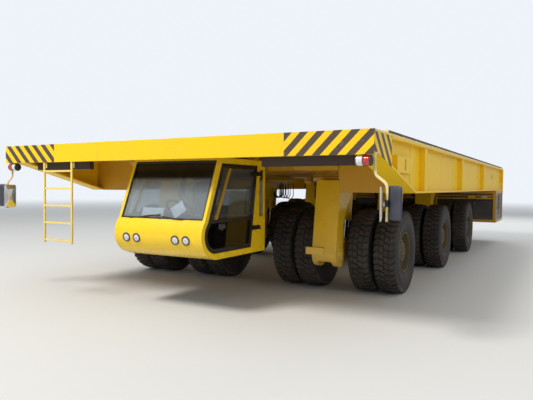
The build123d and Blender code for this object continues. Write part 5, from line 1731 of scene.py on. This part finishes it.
@dataclass
class PlatformTrim:
    """Small things welded and bolted to the beams, the ladder and the boards."""

    web: float = 2.905
    port: Pair = (10.96, 1.97)
    beads: tuple[float, ...] = (2.12, 2.73, 5.27, 5.88, 8.42, 9.03)
    bead_low: float = 1.612
    bead_length: float = 0.610
    plate: Point = (2.952, 6.588, 1.706)
    plate_size: Point = (0.092, 0.016, 0.420)
    board_start: float = 0.66
    board_pitch: float = 1.04417
    board_screws: Pair = (0.07, 0.93)
    board_top: float = 2.3055
    ladder_middle: float = -1.815
    ladder_half: float = 0.295
    ladder_back: float = 0.0225
    ladder_span: Pair = (0.800, 2.0395)
    rungs: int = 5
    rung_top: float = 1.866
    rung_pitch: float = 0.255

    def beams(self) -> None:
        """Each edge beam's port, the closing plate at its rear end and its weld beads."""
        shell = Shell("platform_trim", FRAME_PAINT, STEEL, SEAL)
        port = (self.web, FRONT + self.port[0], self.port[1])
        rim = [(0.0, 0.075), (0.018, 0.073), (0.022, 0.066), (0.022, 0.052), (0.002, 0.050), (0.0, 0.075)]
        shell.turn(rim, port, ACROSS, 36)
        shell.turn(capped((0.001, 0.052), (0.006, 0.050)), port, ACROSS, 36, 2)
        shell.box(self.plate, self.plate_size, 0, 0.003)
        y = FRONT + np.array(self.beads) - self.bead_length / 2
        bead = capped((0.0, 0.007), (self.bead_length, 0.007))
        shell.turn(bead, lattice(self.web + 0.0005, y, self.bead_low), UP, 8)
        shell.mirrored().build()

    def screws(self) -> None:
        """Round screw heads near both edges of every board."""
        shell = Shell("deck_screws", STEEL)
        y = FRONT + self.board_start + self.board_pitch * np.arange(12)[:, None] + np.array(self.board_screws)
        head = [(0.0, 0.0), (0.0, 0.016), (0.0030, 0.014), (0.0042, 0.008), (0.0044, 0.0)]
        shell.turn(head, lattice(np.linspace(-2.86, 2.86, 9), y.ravel(), self.board_top), UP, 12)
        shell.build()

    def ladder(self) -> None:
        """The ladder: two rails with their bolted feet, and rungs with raised grips."""
        shell = Shell("ladder_bars", LADDER_PAINT, STEEL)
        y, (low, top) = FRONT + self.ladder_back, self.ladder_span
        for side in (-1.0, 1.0):
            x = self.ladder_middle + side * self.ladder_half
            shell.box((x, y, (low + top) / 2), (0.027, 0.027, top - low), 0, 0.004)
            shell.box((x, FRONT + 0.037, 1.955), (0.075, 0.012, 0.080), 0, 0.004)
            bolts = lattice(x + side * 0.028, FRONT + 0.031, (1.935, 1.975))
            shell.turn(capped((0.0, 0.010), (0.007, 0.010), (0.009, 0.007)), bolts, AHEAD, 6, 1)
        heights = self.rung_top - self.rung_pitch * np.arange(self.rungs)
        shell.box(lattice(self.ladder_middle, y, heights), (0.022, 0.024, 0.570), 0, 0.004, LYING)
        grips = lattice(np.linspace(-2.06, -1.57, 12), y, heights + 0.012)
        shell.box(grips, (0.010, 0.018, 0.005), 0, 0.002)
        shell.build(replaces=["ladder"])

    def build(self) -> None:
        """Makes every piece of the platform."""
        self.beams()
        self.screws()
        self.ladder()


@dataclass
class PowerPack:
    """Doors, vents, latches, ribs and pipes of the pack under the tail."""

    start: float = 4.730
    end: float = 6.570
    side_face: float = 2.9652
    low: float = 0.7305
    panel_top: float = 1.290
    side_top: float = 1.4992
    vent_shift: float = 0.42
    vent_half: float = 0.285
    vent_span: Pair = (0.99, 1.43)
    slat_span: Pair = (1.02, 1.40)
    slats: int = 10
    slat_tilt: float = 28.0
    hinge_shift: float = 0.76
    hinges: Pair = (0.86, 1.38)
    latch_height: float = 0.90
    panels: tuple[Pair, ...] = ((-2.15, 1.56), (0.0, 2.50), (2.15, 1.56))  # middle, width
    pipe_heights: Pair = (1.350, 1.430)
    pipe_half: float = 2.989
    pipe_radius: float = 0.0292
    clamps: tuple[float, ...] = (-2.2, -1.75, -0.8, 0.0, 0.8, 1.75, 2.2)

    def sides(self) -> None:
        """Side doors: a centre seam, vents with framed sloping slats, hinges and latches."""
        shell = Shell("pack_side_doors", SIDE_PANEL_PAINT, STEEL, SEAL, TRIM)
        x, mid = self.side_face, (self.start + self.end) / 2
        seam = (0.006, 0.016, self.side_top - self.low - 0.03)
        shell.box((x, mid, (self.low + self.side_top) / 2), seam, 2, 0.002)
        cos, sin = cos_sin(self.slat_tilt)
        vents = (mid - self.vent_shift, mid + self.vent_shift)
        slats = lattice(x + 0.006, vents, np.linspace(*self.slat_span, self.slats))
        shell.box(slats, (0.004, 0.52, 0.034), 0, 0.0018, ((cos, 0.0, -sin), ASTERN, (sin, 0.0, cos)))
        low, high = self.vent_span
        for y in vents:
            near, far = y - self.vent_half, y + self.vent_half
            corners = np.array([(x + 0.002, *c) for c in ((near, low), (far, low), (far, high), (near, high))])
            shell.border(corners, rounded(0.016, 0.014, 0.004), 3)
        pin = capped((-0.032, 0.009), (0.032, 0.009))
        for shift, height in lattice(0.0, (-self.hinge_shift, self.hinge_shift), self.hinges)[:, 1:]:
            shell.box((x + 0.003, mid + shift, height), (0.008, 0.075, 0.05), 0, 0.003)
            shell.turn(pin, (x + 0.009, mid + shift * 1.02, height), UP, 14, 1)
        for shift in (-0.10, 0.10):
            latch = np.array([x, mid + shift, self.latch_height])
            shell.turn(capped((0.0, 0.030), (0.004, 0.030), (0.006, 0.026)), latch, ACROSS, 24, 3)
            shell.box(latch + [0.010, 0.0, 0.0], (0.010, 0.018, 0.052), 1, 0.004)
        shell.mirrored().build()

    def front(self) -> None:
        """Front panels: flanged ribs, latches, splash plate, small boxes and round pipes with clamps."""
        shell = Shell("pack_end_panels", PANEL_PAINT, STEEL, TRIM, SHADED_UNDERSIDE_PAINT, FRAME_PAINT, PALE_SHELL)
        face, pipes = self.start + 0.0248, self.start + 0.040
        rib = (0.026, 0.010, self.panel_top - self.low - 0.06)
        knob = capped((0.0, 0.022), (0.006, 0.022), (0.010, 0.018))
        for middle, width in self.panels:
            for height in (self.low + 0.035, self.panel_top - 0.035):
                shell.box((middle, face, height), (width, 0.010, 0.030), 0, 0.003)
            ribs = middle + np.linspace(-width / 2 + 0.03, width / 2 - 0.03, 4 if width < 2 else 5)
            shell.box(lattice(ribs, face, (self.low + self.panel_top) / 2), rib, 0, 0.003)
            shell.turn(knob, lattice((middle - 0.25, middle + 0.25), face - 0.003, 1.20), AHEAD, 20, 1)
        splash = (5.92, 0.006, self.side_top - self.panel_top - 0.004)
        shell.box((0.0, self.start + 0.105, (self.panel_top + self.side_top) / 2), splash, 0, 0.002)
        for side in (-1.0, 1.0):
            for place, width, slot in ((2.32, 0.20, 4), (2.66, 0.16, 5)):
                shell.box((side * place, self.start + 0.052, 1.392), (width, 0.075, 0.085), slot, 0.012)
        pipe = capped((0.0, self.pipe_radius), (2 * self.pipe_half, self.pipe_radius))
        for height in self.pipe_heights:
            shell.turn(pipe, (-self.pipe_half, pipes, height), ACROSS, 24, 3)
            shell.turn(capped((-0.02, 0.034), (0.02, 0.034)), lattice(self.clamps, pipes, height), ACROSS, 24, 1)
        shell.build()

    def build(self) -> None:
        """Makes every piece of the pack."""
        self.sides()
        self.front()


# Finishes on the plain frame


@dataclass
class Dressing:
    """Gives every frame node its finish."""

    plain: dict[str, Finish] = field(default_factory=lambda: {
        "deck_plate": FRAME_PAINT, "deck_boards": PLANKS, "end_plates": STRIPED_PAINT, "side_beams": STRIPED_PAINT,
        "main_girders": SHADED_UNDERSIDE_PAINT, "cross_beams": SHADED_BEAM_PAINT, "slew_rings": SHADED_UNDERSIDE_PAINT, "ladder": LADDER_PAINT,
        "mirror_arms": CREAM_PAINT, "mirror_heads": MIRROR_SHELL, "lamps": CLEAR_LENS, "cab_nose": CAB_PAINT,
        "cab_floor": TRIM, "cab_back_wall": CAB_PAINT, "cab_roof": CAB_PAINT, "cab_side_walls": CAB_PAINT,
        "cab_glass": SCREEN_GLASS, "door_frame": DOOR_PAINT, "door_glass": DOOR_GLASS, "cab_seat": VINYL,
        "cab_dash": TRIM, "power_frame": SHADED_UNDERSIDE_PAINT, "power_panels": PANEL_PAINT, "engine_block": ENGINE_PAINT,
    })
    by_start: dict[str, Finish] = field(default_factory=lambda: {
        "tyres_": TREAD, "hub_": RIM_DIRT_AND_SHADE_PAINT, "leg_": BOGIE_PAINT, "arm_": BOGIE_PAINT,
    })

    def finish_of(self, node: str) -> Finish:
        """The finish of one node, by its own name or else by how the name starts.

        Args:
            node: the node's name.

        Returns:
            Its finish.
        """
        if node in self.plain:
            return self.plain[node]
        return next(finish for start, finish in self.by_start.items() if node.startswith(start))

    def dress(self) -> None:
        """Puts each finish into its node's material slots."""
        for name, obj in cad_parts.items():
            finish = self.finish_of(name)
            obj.data.materials.clear()
            obj.data.materials.append(finish.material())
            obj.data.polygons.foreach_set("material_index", np.zeros(len(obj.data.polygons), np.int32))
            log.info("%s: %s", name, finish.name)


# Studio


@dataclass
class Studio:
    """Pale floor, soft lamps, plain sky and the photograph's viewing angle."""

    lens: float = 35.82
    sensor: float = 36.0
    yaw: float = 29.309
    pitch: float = -1.47
    roll: float = 0.346
    eye: Point = (4.712, -11.906, 1.660)
    far: float = 300.0
    floor_colour: Colour = (0.62, 0.62, 0.61)
    floor_reach: float = 140.0
    floor_fade: Pair = (18.0, 60.0)
    sky: Colour = (0.86, 0.90, 0.95)
    sky_strength: float = 0.62
    lamps: tuple[tuple[str, Point, Point, float, float, Colour], ...] = (  # name, place, aim, size, watts, colour
        ("key", (-6.0, -18.0, 18.5), (0.0, -3.0, 1.0), 6.0, 4600.0, (1.0, 0.965, 0.90)),
        ("side", (17.0, -9.0, 9.0), (1.0, -1.0, 1.2), 8.0, 420.0, (1.0, 0.97, 0.92)),
        ("back", (2.0, 17.0, 11.0), (0.0, 3.0, 1.2), 9.0, 1100.0, (0.95, 0.98, 1.0)),
    )

    def camera(self) -> None:
        """Sets the camera: its rows are the right, up and backward directions worked out from yaw, pitch and roll."""
        yaw, pitch, roll = (math.radians(v) for v in (self.yaw, self.pitch, self.roll))
        ahead = np.array([-math.sin(yaw) * math.cos(pitch), math.cos(yaw) * math.cos(pitch), math.sin(pitch)])
        level = np.array([math.cos(yaw), math.sin(yaw), 0.0])
        top = np.cross(level, ahead)
        right = level * math.cos(roll) + top * math.sin(roll)
        up = -level * math.sin(roll) + top * math.cos(roll)
        data = bpy.data.cameras.new("photo_camera")
        data.lens, data.sensor_width, data.sensor_fit = self.lens, self.sensor, "HORIZONTAL"
        data.clip_end = self.far
        cam = placed("photo_camera", data)
        rows = [[right[i], up[i], -ahead[i], self.eye[i]] for i in range(3)]
        cam.matrix_world = Matrix([*rows, [0.0, 0.0, 0.0, 1.0]])
        bpy.context.scene.camera = cam

    def light(self) -> None:
        """Large soft lamps that look at the object, and the sky."""
        for name, place, aim, size, watts, colour in self.lamps:
            data = bpy.data.lights.new("lamp_" + name, "AREA")
            data.shape, data.size, data.energy, data.color = "SQUARE", size, watts, colour
            lamp = placed("lamp_" + name, data)
            lamp.location = place
            lamp.rotation_euler = (Vector(aim) - Vector(place)).to_track_quat("-Z", "Y").to_euler()
        world = bpy.data.worlds.new("sky")
        bpy.context.scene.world = world
        g = Graph.blank(world)
        rays = g.add("LightPath").outputs
        direct = g.most(rays["Is Camera Ray"], rays["Is Transmission Ray"])
        lit, seen = (g.call("Background", {"Color": self.sky, "Strength": v}) for v in (self.sky_strength, 1.0))
        mixed = g.call("MixShader", {0: direct, 1: lit, 2: seen})
        g.feed(g.add("OutputWorld"), {0: mixed})

    def floor(self) -> None:
        """A wide pale floor that melts into the sky far from the object."""
        material = bpy.data.materials.new("studio_floor")
        g = Graph.blank(material)
        cloud = g.plus(g.ramp(g.noise(0.35, 6.0, 0.6), 0.3, 0.7, -0.02, 0.02), 0.5)
        pale = g.mix(cloud, scaled(self.floor_colour, 0.97), scaled(self.floor_colour, 1.03))
        matt = g.call("BsdfPrincipled", {"Base Color": pale, "Roughness": 0.9})
        glow = g.call("Emission", {"Color": self.sky})
        away = g.ramp(g.call("VectorMath", {0: g.place()}, "Value", operation="LENGTH"), *self.floor_fade)
        share = g.times(away, g.add("LightPath").outputs["Is Camera Ray"])
        mixed = g.call("MixShader", {0: share, 1: matt, 2: glow})
        g.feed(g.add("OutputMaterial"), {0: mixed})
        mesh, reach = bpy.data.meshes.new("studio_floor"), self.floor_reach
        corners = [(-reach, -reach, 0.0), (reach, -reach, 0.0), (reach, reach, 0.0), (-reach, reach, 0.0)]
        mesh.from_pydata(corners, [], [(0, 1, 2, 3)])
        mesh.materials.append(material)
        plane = placed("studio_floor", mesh)

    def build(self) -> None:
        """Sets the view, the camera, the lamps and the floor."""
        bpy.context.scene.view_settings.view_transform = "Standard"
        self.camera()
        self.light()
        self.floor()


def main() -> None:
    """Builds the studio, the finishes and every piece."""
    logging.basicConfig(level=logging.INFO, format="%(name)s: %(message)s", force=True)
    Studio().build()
    Dressing().dress()
    tyres, hub, bogie = TwinTyres(), Hub(), BogieDress()
    for line, y in AXLES.items():
        for side_name, side in (("left", LEFT), ("right", RIGHT)):
            bogie.build(f"{line}_{side_name}", (side * KINGPIN, y, 0.0), side)
            for wheel, outward in (("outer", 1.0), ("inner", -1.0)):
                place = f"{line}_{side_name}_{wheel}"
                axle = (side * KINGPIN, y, AXLE_HEIGHT)
                tyres.build(place, axle, side * outward)
                hub.build(place, axle, side * outward)
    SlewRings().build()
    Cab().build()
    CornerLamps().build()
    Mirrors().build()
    PlatformTrim().build()
    PowerPack().build()


if __name__ == "__main__":
    main()
